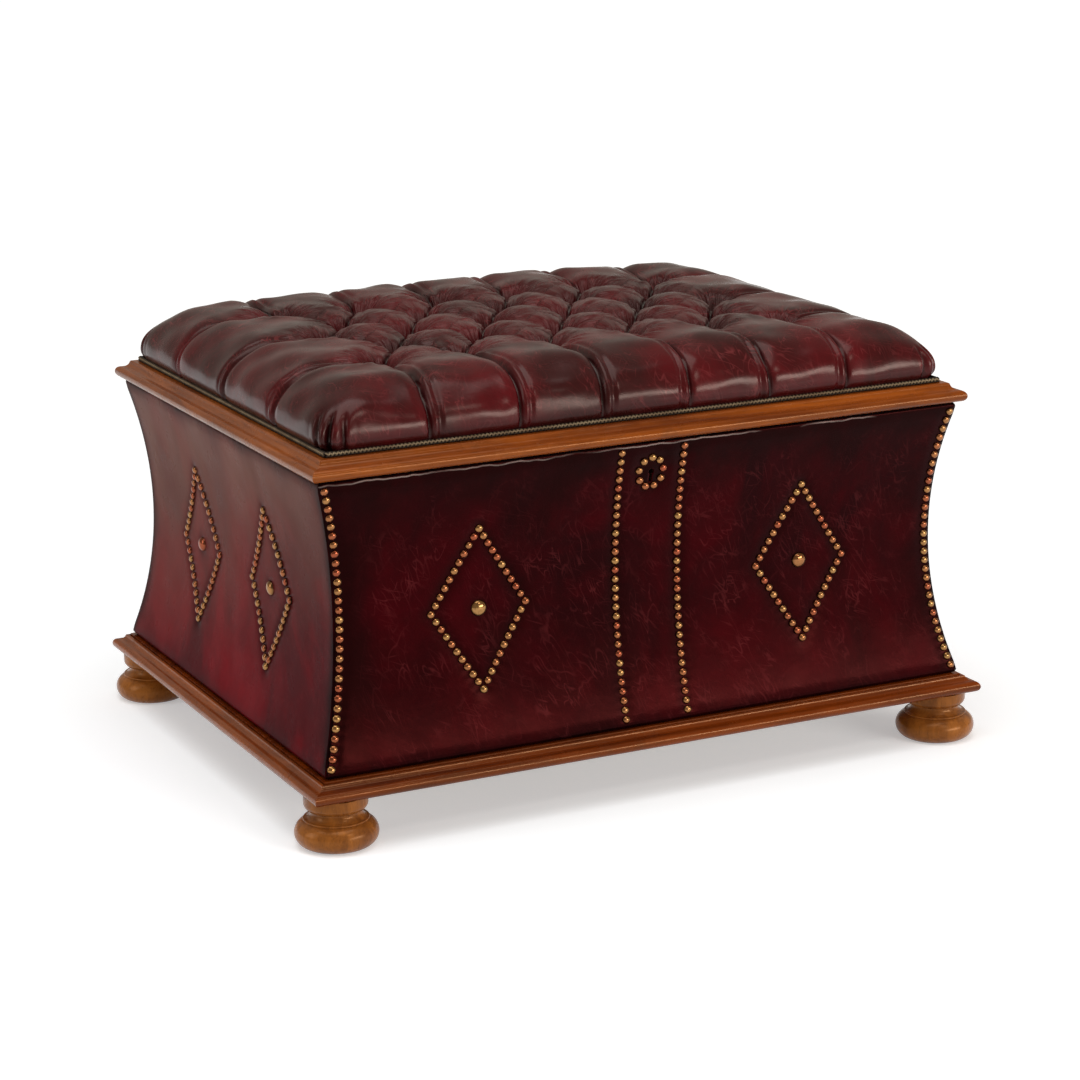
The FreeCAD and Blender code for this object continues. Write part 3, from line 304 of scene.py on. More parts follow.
def leather_material(name, dull, red, dark, mottled, creased, rough, shine, tint, fold=None):
    """Antiqued leather, with shade painted in by the attribute 'dark' and dark wax about the case's nails, worn lines,
    a painted sheen from a second attribute and a painted highlight at the level 'fold'.
    """
    material, tree, shader, place = new_material(name)
    patches = spread(tree, clouds(tree, stretched(tree, place, (1, 1, 0.6)), 7.0, 5.0, 0.62, 0.7), 0.40, 0.62)
    mottle = clouds(tree, place, 34.0, 4.0, 0.6)
    colour = blend_colours(tree, patches, dull, red)
    colour = blend_colours(tree, spread(tree, mottle, 0.35, 0.75, 0.0, mottled), colour, dark)
    # Painted shade from the attribute 'dark', which blends the colour raggedly towards the dark one
    shade = add(tree, "Attribute", attribute_name="dark").outputs["Fac"]
    ragged = spread(tree, clouds(tree, place, 60.0, 3.0), 0.3, 0.7, 0.8, 1.15)
    shade = calculate(tree, "MULTIPLY", shade, ragged)
    colour = blend_colours(tree, shade, colour, dark)
    lines = 0.0
    for number, turn in enumerate(HAIR_TURNS):
        lines = calculate(tree, "MAXIMUM", lines, hairs(tree, place, turn, 1.7 * number))
    where = spread(tree, clouds(tree, place, 24.0, 2.0), 0.40, 0.66, 0.1 * creased, creased)
    open_leather = spread(tree, shade, 0.0, 0.7, 1.0, 0.0)
    worn = calculate(tree, "MULTIPLY", calculate(tree, "MULTIPLY", lines, where), open_leather)
    colour = blend_colours(tree, worn, colour, CREASE_COLOUR)
    # A painted sheen on the case's sides, from the attribute that case_leather gives them, made uneven by noise
    painted_sheen = add(tree, "Attribute", attribute_name="painted_sheen").outputs["Fac"]
    uneven = clouds(tree, stretched(tree, place, (1, 1, 0.5)), 11.0, 3.0)
    painted_sheen = calculate(tree, "MULTIPLY", painted_sheen, spread(tree, uneven, 0.3, 0.7, 0.6, 1.1))
    colour = blend_colours(tree, painted_sheen, colour, PAINTED_SHEEN_COLOUR)
    # A painted highlight: a thin light line just under the rim at the level 'fold', swaying and broken by noise
    if fold is not None:
        level = add(tree, "SeparateXYZ", {"Vector": place}).outputs["Z"]
        sway = calculate(tree, "MULTIPLY", clouds(tree, stretched(tree, place, (1, 1, 0)), 26.0, 2.0), RIM_HIGHLIGHT_SWAY)
        above = calculate(tree, "SUBTRACT", calculate(tree, "ADD", level, sway), fold - 0.0005)
        line = spread(tree, calculate(tree, "ABSOLUTE", above), 0.0003, 0.0011, 1.0, 0.0)
        edge = calculate(tree, "MULTIPLY", line, spread(tree, clouds(tree, place, 9.0), 0.42, 0.56))
        colour = blend_colours(tree, calculate(tree, "MULTIPLY", edge, 0.8), colour, RIM_HIGHLIGHT_COLOUR)
    join(tree, colour, shader, "Base Color")
    gloss = spread(tree, clouds(tree, place, 22.0, 4.0), 0.3, 0.7, rough, rough + 0.12)
    join(tree, gloss, shader, "Roughness")
    shader.inputs["IOR"].default_value = shine
    shader.inputs["Specular Tint"].default_value = (1.0, tint, 0.92 * tint, 1.0)
    soft = bump(tree, clouds(tree, place, 45.0, 3.0), 0.25, 0.0010)
    parts = [add(tree, "Attribute", attribute_name=n).outputs["Fac"] for n in ("tuft_x", "tuft_y")]
    ray = add(tree, "CombineXYZ", {"X": parts[0], "Y": parts[1]}).outputs[0]
    ray = add(tree, "VectorMath", {0: ray}, operation="NORMALIZE").outputs[0]
    shifted = add(tree, "VectorMath", {0: ray, 1: stretched(tree, place, (2.2, 2.2, 2.2))}, operation="ADD")
    streak = clouds(tree, shifted.outputs[0], 5.5, 3.0, 0.6)
    strength = add(tree, "Attribute", attribute_name="gather").outputs["Fac"]
    soft = bump(tree, calculate(tree, "MULTIPLY", streak, strength), 0.8, 0.006, soft)
    grain = bump(tree, clouds(tree, place, 700.0, 3.0), 0.2, 0.00022, soft)
    join(tree, bump(tree, lines, -0.2 * creased, 0.0002, grain), shader, "Normal")
    return material


def wood_material(name, light, deep, stretch, gloss=0.16):
    """Stained and polished wood, with its grain along the axis that is stretched least."""
    material, tree, shader, place = new_material(name)
    fibres = clouds(tree, stretched(tree, place, stretch), 6.0, 8.0, 0.68, 0.6)
    bands = clouds(tree, stretched(tree, place, [s * 0.35 for s in stretch]), 4.0, 3.0, 0.5, 1.2)
    grain = calculate(tree, "ADD", calculate(tree, "MULTIPLY", fibres, 0.6), calculate(tree, "MULTIPLY", bands, 0.4))
    colour = blend_colours(tree, spread(tree, grain, 0.36, 0.62), deep, light)
    pores = spread(tree, clouds(tree, stretched(tree, place, [s * 2.6 for s in stretch]), 20.0, 2.0), 0.60, 0.72)
    colour = blend_colours(tree, calculate(tree, "MULTIPLY", pores, 0.45), colour, PORE_COLOUR)
    dirt = spread(tree, clouds(tree, place, 26.0, 4.0, 0.7), 0.60, 0.78, 0.0, 0.5)
    colour = blend_colours(tree, dirt, colour, DIRT_COLOUR)
    join(tree, colour, shader, "Base Color")
    join(tree, spread(tree, clouds(tree, place, 40.0, 4.0), 0.3, 0.7, gloss, gloss + 0.16), shader, "Roughness")
    shader.inputs["IOR"].default_value = 1.47
    shader.inputs["Specular Tint"].default_value = (1.0, 0.55, 0.28, 1.0)
    dents = bump(tree, clouds(tree, place, 70.0, 3.0), 0.3, 0.0008)
    join(tree, bump(tree, fibres, 0.15, 0.0003, dents), shader, "Normal")
    return material


def metal_material(name, first, second, rough):
    """Metal whose colour drifts from piece to piece, with tarnish."""
    material, tree, shader, place = new_material(name)
    drift = spread(tree, clouds(tree, place, 9.0, 1.0), 0.38, 0.62)
    colour = blend_colours(tree, drift, first, second)
    spots = spread(tree, clouds(tree, place, 420.0, 3.0), 0.56, 0.72, 0.0, 0.7)
    join(tree, blend_colours(tree, spots, colour, TARNISH_COLOUR), shader, "Base Color")
    shader.inputs["Metallic"].default_value = 1.0
    join(tree, spread(tree, clouds(tree, place, 300.0, 2.0), 0.3, 0.7, rough, rough + 0.15), shader, "Roughness")
    join(tree, bump(tree, clouds(tree, place, 500.0, 2.0), 0.12, 0.0002), shader, "Normal")
    return material


def nail_material():
    """Copper and brass nail heads, each with its own tone, and darkened towards where they meet the leather, as tarnish
    with painted shade.
    """
    material, tree, shader, place = new_material("nail_metal")
    tone = add(tree, "Attribute", attribute_name="tone").outputs["Fac"]
    colour = blend_colours(tree, tone, (0.28, 0.070, 0.034, 1), (0.34, 0.18, 0.066, 1))
    spots = spread(tree, clouds(tree, place, 420.0, 2.0), 0.50, 0.80, 0.0, 0.5)
    height = add(tree, "Attribute", attribute_name="height").outputs["Fac"]
    # Tarnish spots, and a darkening towards the foot of each dome that is tarnish with painted shade
    dirt = calculate(tree, "MAXIMUM", spots, spread(tree, height, 0.05, 0.70, 0.97, 0.0))
    join(tree, blend_colours(tree, dirt, colour, (0.045, 0.020, 0.012, 1)), shader, "Base Color")
    shader.inputs["Metallic"].default_value = 1.0
    join(tree, spread(tree, clouds(tree, place, 300.0, 2.0), 0.3, 0.7, 0.12, 0.20), shader, "Roughness")
    join(tree, bump(tree, clouds(tree, place, 420.0, 2.0), 0.05, 0.0002), shader, "Normal")
    return material


def cloth_material(name, first, second, threads):
    """A plain weave from two sets of fine waves."""
    material, tree, shader, place = new_material(name)
    height = 0.0
    for axis in ("X", "Y", "Z"):
        inputs = {"Vector": place, "Scale": threads, "Distortion": 0.6, "Detail": 1.0}
        waves = add(tree, "TexWave", inputs, bands_direction=axis).outputs[1]
        height = calculate(tree, "ADD", height, waves)
    tone = clouds(tree, place, 30.0, 4.0)
    colour = blend_colours(tree, spread(tree, tone, 0.35, 0.7), first, second)
    shadow = spread(tree, height, 0.6, 2.2, 0.55, 0.0)
    join(tree, blend_colours(tree, shadow, colour, (0.01, 0.004, 0.004, 1.0)), shader, "Base Color")
    shader.inputs["Roughness"].default_value = 0.9
    shader.inputs["IOR"].default_value = 1.25
    shader.inputs["Sheen Weight"].default_value = 0.06
    join(tree, bump(tree, height, 0.5, 0.0005), shader, "Normal")
    return material


def braid_material():
    """Twisted golden-brown thread, with shade painted near black where the strands pass under one another and on their
    sides that face in and down.
    """
    material, tree, shader, place = new_material("braid_thread")
    tone = add(tree, "Attribute", attribute_name="tone").outputs["Fac"]
    twist = clouds(tree, place, 1100.0, 2.0)
    worn = spread(tree, clouds(tree, place, 30.0, 3.0), 0.35, 0.65)
    light = blend_colours(tree, worn, (0.22, 0.145, 0.080, 1), (0.40, 0.30, 0.18, 1))
    # Painted shade: the thread's colour shows only where 'tone' is high, elsewhere it is near black
    shown = calculate(tree, "MULTIPLY", tone, spread(tree, twist, 0.3, 0.6, 0.45, 1.0))
    join(tree, blend_colours(tree, shown, (0.012, 0.007, 0.005, 1), light), shader, "Base Color")
    shader.inputs["Roughness"].default_value = 0.6
    shader.inputs["IOR"].default_value = 1.3
    join(tree, bump(tree, twist, 0.5, 0.0003), shader, "Normal")
    return material


# Case leather


def circle_through(a, b, c):
    """Centre and radius of the circle through three points."""
    d = 2 * (a[0] * (b[1] - c[1]) + b[0] * (c[1] - a[1]) + c[0] * (a[1] - b[1]))
    squares = [p[0] ** 2 + p[1] ** 2 for p in (a, b, c)]
    x = squares[0] * (b[1] - c[1]) + squares[1] * (c[1] - a[1]) + squares[2] * (a[1] - b[1])
    y = squares[0] * (c[0] - b[0]) + squares[1] * (a[0] - c[0]) + squares[2] * (b[0] - a[0])
    centre = (x / d, y / d)
    return centre, math.dist(centre, a)


def arc(centre, radius, start, end, step):
    """Points along an arc with their angles, from a start angle to an end angle."""
    count = max(2, math.ceil(abs(end - start) * radius / step))
    angles = np.linspace(start, end, count + 1)
    return np.stack([centre[0] + radius * np.cos(angles), centre[1] + radius * np.sin(angles)], axis=1), angles


def wall_arc(rim, foot):
    """Centre and radius of the hollow line that the leather follows between its rounded edges."""
    top, low = rim - EDGE_ROUND, foot + EDGE_ROUND
    return circle_through((0, top), (SPREAD / 2 - HOLLOW, (top + low) / 2), (SPREAD, low))


def wall_profile(rim, foot):
    """The leather's outer line from the well over the rim and down to the foot, as (out, level), with normals."""
    flat = np.linspace(-WALL, -EDGE_ROUND, 14)[:-1]
    lines = [np.stack([flat, np.full_like(flat, rim)], axis=1)]
    normals = [np.tile([0.0, 1.0], (len(flat), 1))]
    top, low = rim - EDGE_ROUND, foot + EDGE_ROUND
    points, angles = arc((-EDGE_ROUND, top), EDGE_ROUND, math.pi / 2, 0, EDGE_ROUND / 5)
    lines.append(points[:-1])
    normals.append(np.stack([np.cos(angles), np.sin(angles)], axis=1)[:-1])
    centre, radius = wall_arc(rim, foot)
    start = math.atan2(top - centre[1], -centre[0])
    end = math.atan2(low - centre[1], SPREAD - centre[0])
    points, angles = arc(centre, radius, start % (2 * math.pi), end % (2 * math.pi), CASE_STEP)
    lines.append(points[:-1])
    normals.append(-np.stack([np.cos(angles), np.sin(angles)], axis=1)[:-1])
    points, angles = arc((SPREAD - EDGE_ROUND, low), EDGE_ROUND, 0, -math.pi / 2, EDGE_ROUND / 5)
    lines.append(points)
    normals.append(np.stack([np.cos(angles), np.sin(angles)], axis=1))
    return np.concatenate(lines), np.concatenate(normals)


def turn_points(points, angle):
    c, s = math.cos(angle), math.sin(angle)
    return points @ np.array([[c, s, 0], [-s, c, 0], [0, 0, 1]])


def case_leather(side, material, nails, rim, foot, half_length, half_depth):
    """One side of the case, stretched over its wadding and drawn in by the nails."""
    number = SIDES.index(side)
    angle = number * math.pi / 2
    run, face = (half_length, half_depth) if number % 2 == 0 else (half_depth, half_length)
    profile, normals = wall_profile(rim, foot)
    columns = round(2 * run / CASE_STEP)
    share = np.linspace(-1, 1, columns + 1)
    out, level = profile[:, :1], profile[:, 1:]
    x = share[None, :] * (run + out)
    points = np.stack([x, np.broadcast_to(-(face + out), x.shape), np.broadcast_to(level, x.shape)], axis=-1)
    facing, upward = (np.broadcast_to(part, x.shape) for part in (-normals[:, :1], normals[:, 1:]))
    outward = np.stack([np.zeros_like(x), facing, upward], axis=-1)
    points, outward = points.reshape(-1, 3), outward.reshape(-1, 3)
    heights = points[:, 2]
    to_corner = (run + np.broadcast_to(out, x.shape).ravel()) - np.abs(points[:, 0])
    nearest = np.full(len(points), 1.0)
    for nail in turn_points(nails, -angle) if len(nails) else []:
        offset = points - nail
        flat = offset - outward * np.sum(offset * outward, axis=1)[:, None]
        distance = np.linalg.norm(flat, axis=1)
        distance[np.linalg.norm(offset, axis=1) > NAIL_FAR] = 1.0
        nearest = np.minimum(nearest, distance)
    on_face = smooth(heights, foot, foot + EDGE_FADE) * (1 - smooth(heights, rim - EDGE_FADE, rim - 0.001))
    away = 1 - np.exp(-((nearest / NAIL_PULL) ** 2))
    rise = PUFF * away
    if side in ("front", "back"):
        rise += HEM_RISE * (1 - smooth(to_corner, HEM_WIDTH - 0.002, HEM_WIDTH)) * away
    waves = ripple(points, 0.22, 11 + number) + 0.4 * ripple(points, 0.08, 31 + number)
    rise += WAVE_HEIGHT * waves * smooth(to_corner, 0.004, 0.03)
    points = points + outward * (rise * on_face)[:, None]
    # The attribute 'dark' paints shade: about the nails together with dark wax, under the rim, at the foot and along
    # the corners, widest under the front's rim; it also darkens a patch about the keyhole
    dark = 1.05 * np.exp(-((nearest / NAIL_SHADE) ** 1.5))
    top_reach, edge_reach = (0.055, 0.040) if side == "front" else (0.012, 0.015)
    edge_noise = 1 + 0.35 * ripple(points, 0.09, 51 + number)
    dark = np.maximum(dark, np.exp(-(np.abs(rim - heights) / (top_reach * edge_noise)) ** 1.4))
    dark = np.maximum(dark, 0.9 * np.exp(-((heights - foot) / (0.010 * edge_noise))))
    dark = np.maximum(dark, 0.95 * np.exp(-(to_corner / (edge_reach * edge_noise)) ** 1.4))
    if side == "front":
        from_keyhole = np.hypot(points[:, 0] - KEYHOLE_X, points[:, 2] - (KEYHOLE_LEVEL - KEYHOLE_TAIL / 3))
        dark = np.maximum(dark, 1.1 * np.exp(-(from_keyhole / 0.020) ** 4))
    dark = np.clip(dark, 0, 1)
    data = {"dark": dark}
    # The sides get a painted sheen, stronger higher up and towards the back, kept off the darkened places
    if side in ("left", "right"):
        toward_back = points[:, 0] * (1 if side == "right" else -1) / (2 * run) + 0.5
        data["painted_sheen"] = 0.85 * smooth((heights - foot) / (rim - foot) + 0.5 * toward_back, 0.34, 1.3) * (1 - dark)
    name = "case_leather_" + side
    piece = new_piece(name, turn_points(points, angle), grid_faces(len(profile), columns + 1)[:, ::-1], material, data)
    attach(piece, "case")
    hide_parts("leather_" + side)
    return piece


def nail_heads(name, places, side, radius, rise, material, rim, foot, half_length, half_depth):
    """Domed heads set square on the leather where the CAD nails are, each a little tilted."""
    number = SIDES.index(side)
    angle = number * math.pi / 2
    face = half_depth if number % 2 == 0 else half_length
    centre, bend = wall_arc(rim, foot)
    rings, segments = 9, 20
    turns = np.linspace(0.12, math.pi / 2, rings)
    around = np.linspace(0, 2 * math.pi, segments + 1)[:-1]
    dome = [[0.0, 0.0, rise]]
    for turn in turns:
        ring_radius, ring_rise = radius * math.sin(turn), rise * math.cos(turn)
        dome += [[ring_radius * math.cos(a), ring_radius * math.sin(a), ring_rise] for a in around]
    dome += [[radius * math.cos(a), radius * math.sin(a), -0.0006] for a in around]
    dome = np.array(dome)
    faces = [[0, 1 + i, 1 + (i + 1) % segments] for i in range(segments)]
    for ring in range(rings):
        first = 1 + ring * segments
        for i in range(segments):
            j = (i + 1) % segments
            faces.append([first + i, first + segments + i, first + segments + j, first + j])
    random = np.random.default_rng(61 + number)
    points, all_faces, tones, heights = [], [], [], []
    for place in turn_points(places, -angle):
        arm = np.array([-place[1] - face, place[2]]) - centre
        arm /= np.linalg.norm(arm)
        out, level = np.array(centre) + bend * arm
        normal = np.array([0, arm[0], -arm[1]])
        base = np.array([place[0], -(face + out), level])
        normal = normal + math.radians(NAIL_TILT) * random.normal(size=3)
        normal /= np.linalg.norm(normal)
        first = np.cross([1.0, 0, 0], normal)
        first /= np.linalg.norm(first)
        rows = np.array([first, np.cross(normal, first), normal])
        size = random.uniform(0.97, 1.03)
        all_faces += [[i + len(points) * len(dome) for i in f] for f in faces]
        points.append(base + size * dome @ rows)
        tones.append(np.full(len(dome), random.uniform(0, 1)))
        heights.append(dome[:, 2] / rise)
    data = {"tone": np.concatenate(tones), "height": np.concatenate(heights)}
    piece = new_piece(name, turn_points(np.concatenate(points), angle), all_faces, material, data)
    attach(piece, "case")
    return piece


def thicken(piece, thickness):
    """Gives a sheet its thickness, inwards."""
    shell = piece.modifiers.new("thickness", "SOLIDIFY")
    shell.thickness = thickness
    shell.offset = -1.0
    apply_modifiers(piece)


def box_cutter(x, y, z):
    low, high = Vector((x[0], y[0], z[0])), Vector((x[1], y[1], z[1]))
    work = bmesh.new()
    bmesh.ops.create_cube(work, size=1.0, matrix=Matrix.LocRotScale((low + high) / 2, None, high - low))
    return work


def keyhole_cutter(half_depth):
    """The keyhole as one closed shape, a round top over a straight tail."""
    mouth = math.asin(KEYHOLE_HALF_SLOT / KEYHOLE_RADIUS)
    angles = np.linspace(-math.pi / 2 + mouth, 1.5 * math.pi - mouth, 25)
    outline = [(KEYHOLE_X + KEYHOLE_RADIUS * math.cos(a), KEYHOLE_LEVEL + KEYHOLE_RADIUS * math.sin(a)) for a in angles]
    outline += [(KEYHOLE_X + side * KEYHOLE_HALF_SLOT, KEYHOLE_LEVEL - KEYHOLE_TAIL) for side in (-1, 1)]
    work = bmesh.new()
    front = [work.verts.new((px, -half_depth - 0.02, pz)) for px, pz in outline]
    back = [work.verts.new((px, -half_depth + 0.06, pz)) for px, pz in outline]
    work.faces.new(front)
    work.faces.new(back[::-1])
    for i in range(len(outline)):
        j = (i + 1) % len(outline)
        work.faces.new([front[j], front[i], back[i], back[j]])
    bmesh.ops.recalc_face_normals(work, faces=work.faces)
    return work


def cut_away(piece, works):
    """Cuts closed shapes out of a piece."""
    for work in works:
        mesh = bpy.data.meshes.new("cutter")
        work.to_mesh(mesh)
        work.free()
        cutter = bpy.data.objects.new("cutter", mesh)
        bpy.context.scene.collection.objects.link(cutter)
        cut = piece.modifiers.new("cut", "BOOLEAN")
        cut.object = cutter
        cut.operation = "DIFFERENCE"
        cut.solver = "MANIFOLD"
        apply_modifiers(piece)
        bpy.data.objects.remove(cutter)
        bpy.data.meshes.remove(mesh)


# Tufted cushion


def tufts():
    """Places of the tufts on the top, with every other row shifted by half a step."""
    places = []
    for row in range(TUFT_ROWS):
        columns = TUFT_COLUMNS - row % 2
        y = (row - (TUFT_ROWS - 1) / 2) * TUFT_STEP_Y
        places += [((2 * i - (columns - 1)) * TUFT_STEP_X, y) for i in range(columns)]
    return np.array(places)


def diagonal_pleats(lean):
    """Ends of the pleats that run one way through the tufts."""
    lines = {}
    for x, y in tufts():
        key = round(x / TUFT_STEP_X - lean * y / TUFT_STEP_Y)
        lines.setdefault(key, []).append((x, y))
    ends = [(min(line, key=lambda p: p[1]), max(line, key=lambda p: p[1])) for line in lines.values()]
    return [e for e in ends if e[0] != e[1]]


def to_segment(points, start, end):
    """Distance of flat points to a stretch of line."""
    start, along = np.array(start), np.array(end) - np.array(start)
    share = np.clip((points - start) @ along / (along @ along), 0, 1)
    return np.linalg.norm(points - start - share[:, None] * along, axis=1)


def pillow(distance, reach=PILLOW_REACH):
    """How much of a pleat's depth reaches a point: 1 in the pleat and 0 in the pillow's middle."""
    u = np.clip(1 - distance / reach, 0, 1)
    return 1 - (1 - u**1.7) ** 0.62


def border_pleats():
    """Pleats from the outermost tufts straight out over the edge: (across axis, place, first out, sign)."""
    pleats = []
    last_x, last_y = (TUFT_COLUMNS - 1) * TUFT_STEP_X, (TUFT_ROWS - 1) / 2 * TUFT_STEP_Y
    for x, y in tufts():
        if abs(abs(y) - last_y) < 1e-6:
            pleats.append((0, x, last_y, math.copysign(1, y)))
        if abs(abs(x) - last_x) < 1e-6:
            pleats.append((1, y, last_x, math.copysign(1, x)))
    return pleats


def cushion_depth(flat, edge):
    """How deep the cushion's surface lies under its plain form, at unfolded places, and the shade painted into its
    leather in the slits and tuft pits.
    """
    families = []
    slit = np.full(len(flat), 1.0)
    for lean in (1, -1):
        distance = np.min([to_segment(flat, *ends) for ends in diagonal_pleats(lean)], axis=0)
        slit = np.minimum(slit, distance)
        families.append(pillow(distance))
    border, lip = np.zeros(len(flat)), np.zeros(len(flat))
    for axis, place, first, sign in border_pleats():
        outer = flat[:, 1 - axis] * sign - first
        beyond = np.maximum(outer, 0)
        fan = np.interp(place, FRONT_PLACES, FRONT_FAN) if (axis, sign) == (0, -1) else 0.02 * place
        across = flat[:, axis] - place - fan * smooth(beyond, 0.04, 0.19)
        distance = np.hypot(across, np.minimum(outer, 0))
        reach = PILLOW_REACH * (1 - 0.6 * smooth(beyond, 0.02, 0.13))
        border = np.maximum(border, np.interp(beyond, OUT_PLACES, OUT_DEPTHS) * pillow(distance, reach))
        slit = np.minimum(slit, distance + np.where(outer < 0, 0.01, 0))
        side = -math.copysign(1, place) if abs(place) > 1e-6 else 1
        fold = np.exp(-(((across * side - LIP_OFFSET) / LIP_WIDTH) ** 2))
        fold -= 0.8 * np.exp(-(((across * side - 2 * LIP_OFFSET) / LIP_WIDTH) ** 2))
        lip = np.where(outer > 0, lip + fold * smooth(outer, 0.004, 0.05), lip)
    valley = 1 - (1 - families[0]) * (1 - families[1]) * (1 - border)
    places = tufts()
    offsets = flat[:, None, :] - places[None, :, :]
    distances = np.linalg.norm(offsets, axis=2)
    near = np.argmin(distances, axis=1)
    to_tuft = distances[np.arange(len(flat)), near]
    pit = (1 - np.clip((to_tuft - TUFT_FLOOR) / (TUFT_REACH - TUFT_FLOOR), 0, 1)) ** 2.2
    depth = PLEAT_DEPTH * valley + (TUFT_DEPTH - PLEAT_DEPTH) * pit
    offset = offsets[np.arange(len(flat)), near]
    turn = np.arctan2(offset[:, 1], offset[:, 0])
    phase = near * 2.4
    rays = 0.6 * np.cos(11 * turn + phase) + 0.5 * np.cos(17 * turn + 2.1 * phase) + 0.4 * np.cos(7 * turn - phase)
    reach = smooth(to_tuft, 0.009, 0.018) * (1 - smooth(to_tuft, 0.024, 0.058))
    depth -= WRINKLE_HEIGHT * rays * reach
    depth += SLIT_DEPTH * np.exp(-((slit / SLIT_WIDTH) ** 2)) * (1 - smooth(edge, 0.100, 0.120))
    depth -= LIP_RISE * lip
    # Painted shade, darkest in the slits and lighter in the tuft pits
    dark = 0.85 * np.exp(-((slit / 0.0021) ** 1.6)) + 0.25 * pit
    gather = smooth(to_tuft, 0.006, 0.014) * (1 - smooth(to_tuft, 0.026, 0.060))
    data = {"dark": np.clip(dark, 0, 1), "tuft_x": offset[:, 0], "tuft_y": offset[:, 1], "gather": gather}
    return depth, data


def roll(half_x, half_y):
    """Turning angles over the cushion's rounded edge, an ellipse, with the leather's length up to each."""
    turns = np.linspace(0, math.pi / 2, 240)
    reach = (radius_x(half_x) + radius_y(half_y)) / 2
    steps = np.hypot(reach * np.diff(np.sin(turns)), ROLL_DROP * np.diff(np.cos(turns)))
    return turns, np.concatenate([[0.0], np.cumsum(steps)])


def plain_cushion(flat, direction, edge, half_x, half_y, top, bottom):
    """Places and outward directions on the cushion's plain form, from unfolded places."""
    inner_x, inner_y = half_x - radius_x(half_x), half_y - radius_y(half_y)
    cos, sin = np.abs(direction[:, 0]), np.abs(direction[:, 1])
    radius = radius_x(half_x) * cos**2 + radius_y(half_y) * sin**2
    turns, lengths = roll(half_x, half_y)
    turn = np.interp(edge, lengths, turns)
    side_height = top - ROLL_DROP - bottom
    drop = np.clip((edge - lengths[-1]) / side_height, 0, 1)
    reach = radius * np.sin(turn) - SIDE_LEAN * drop**2
    square = 2 + 3.2 * smooth(edge, 0.03, 0.12)
    norm = np.maximum((cos**square + sin**square) ** (1 / square), 1e-6)
    reach = np.where(edge > 0, reach / norm, 0)
    base = np.clip(flat, [-inner_x, -inner_y], [inner_x, inner_y])
    ends = RIGHT_FALL * smooth(flat[:, 0], 0.08, half_x) + LEFT_FALL * smooth(-flat[:, 0], 0.15, half_x)
    fall = CROWN * ((flat[:, 0] / half_x) ** 2 + (flat[:, 1] / half_y) ** 2) / 2 + ends
    fall = fall * (1 - smooth(edge, 0.02, lengths[-1]))
    rolled = top - ROLL_DROP * (1 - np.cos(turn)) - fall
    level = np.where(drop > 0, bottom + side_height * (1 - drop), rolled)
    points = np.column_stack([base + direction * reach[:, None], level])
    across, up = ROLL_DROP * np.sin(turn), radius * np.cos(turn)
    outward = np.column_stack([direction * across[:, None], up]) / np.hypot(across, up)[:, None]
    return points, outward


def radius_x(half_x):
    return half_x - TOP_STEPS_X * TUFT_STEP_X / STEPS_PER_TUFT


def radius_y(half_y):
    return half_y - TOP_STEPS_Y * TUFT_STEP_Y / STEPS_PER_TUFT


def cushion_rings(half_x, half_y, top, bottom):
    """Distances out from the flat top at which the edge of the cushion has its mesh lines."""
    longest = roll(half_x, half_y)[1][-1] + top - ROLL_DROP - bottom
    return np.linspace(0, longest, round(longest / SIDE_STEP) + 1)


def cushion_patches(half_x, half_y, rings):
    """The unfolded top, four edge strips and four corner fans, each as (places, directions, edges, shape)."""
    xs = np.arange(-TOP_STEPS_X, TOP_STEPS_X + 1) * TUFT_STEP_X / STEPS_PER_TUFT
    ys = np.arange(-TOP_STEPS_Y, TOP_STEPS_Y + 1) * TUFT_STEP_Y / STEPS_PER_TUFT
    gx, gy = np.meshgrid(xs, ys)
    top = np.column_stack([gx.ravel(), gy.ravel()])
    patches = [(top, np.tile([1.0, 0.0], (len(top), 1)), np.zeros(len(top)), gx.shape)]
    for axis, sign in ((0, -1), (0, 1), (1, -1), (1, 1)):
        lines = ys if axis == 0 else xs
        limit = (xs if axis == 0 else ys)[-1]
        along, out = np.meshgrid(lines, rings)
        direction = np.zeros((along.size, 2))
        direction[:, axis] = sign
        place = np.zeros((along.size, 2))
        place[:, axis] = sign * (limit + out.ravel())
        place[:, 1 - axis] = along.ravel()
        patches.append((place, direction, out.ravel(), along.shape))
    turns = np.linspace(0, math.pi / 2, CORNER_STEPS + 1)
    for sign_x in (-1, 1):
        for sign_y in (-1, 1):
            turn, out = np.meshgrid(turns, rings)
            direction = np.column_stack([sign_x * np.cos(turn.ravel()), sign_y * np.sin(turn.ravel())])
            place = np.array([sign_x * xs[-1], sign_y * ys[-1]]) + direction * out.ravel()[:, None]
            patches.append((place, direction, out.ravel(), turn.shape))
    return patches


def corner_gathers(direction, edge, longest):
    """Small folds where the leather is gathered round a corner, deepest at the gimp."""
    cos, sin = np.abs(direction[:, 0]), np.abs(direction[:, 1])
    turn = np.degrees(np.arctan2(sin, cos)) - 45
    folds = (0.5 + 0.5 * np.cos(2 * math.pi * turn / GATHER_PITCH)) ** 2 - 0.4
    fan = np.exp(-np.abs(turn / GATHER_FAN) ** 3)
    grown = smooth(edge, longest - 0.054, longest - 0.022)
    return GATHER_DEPTH * folds * fan * grown


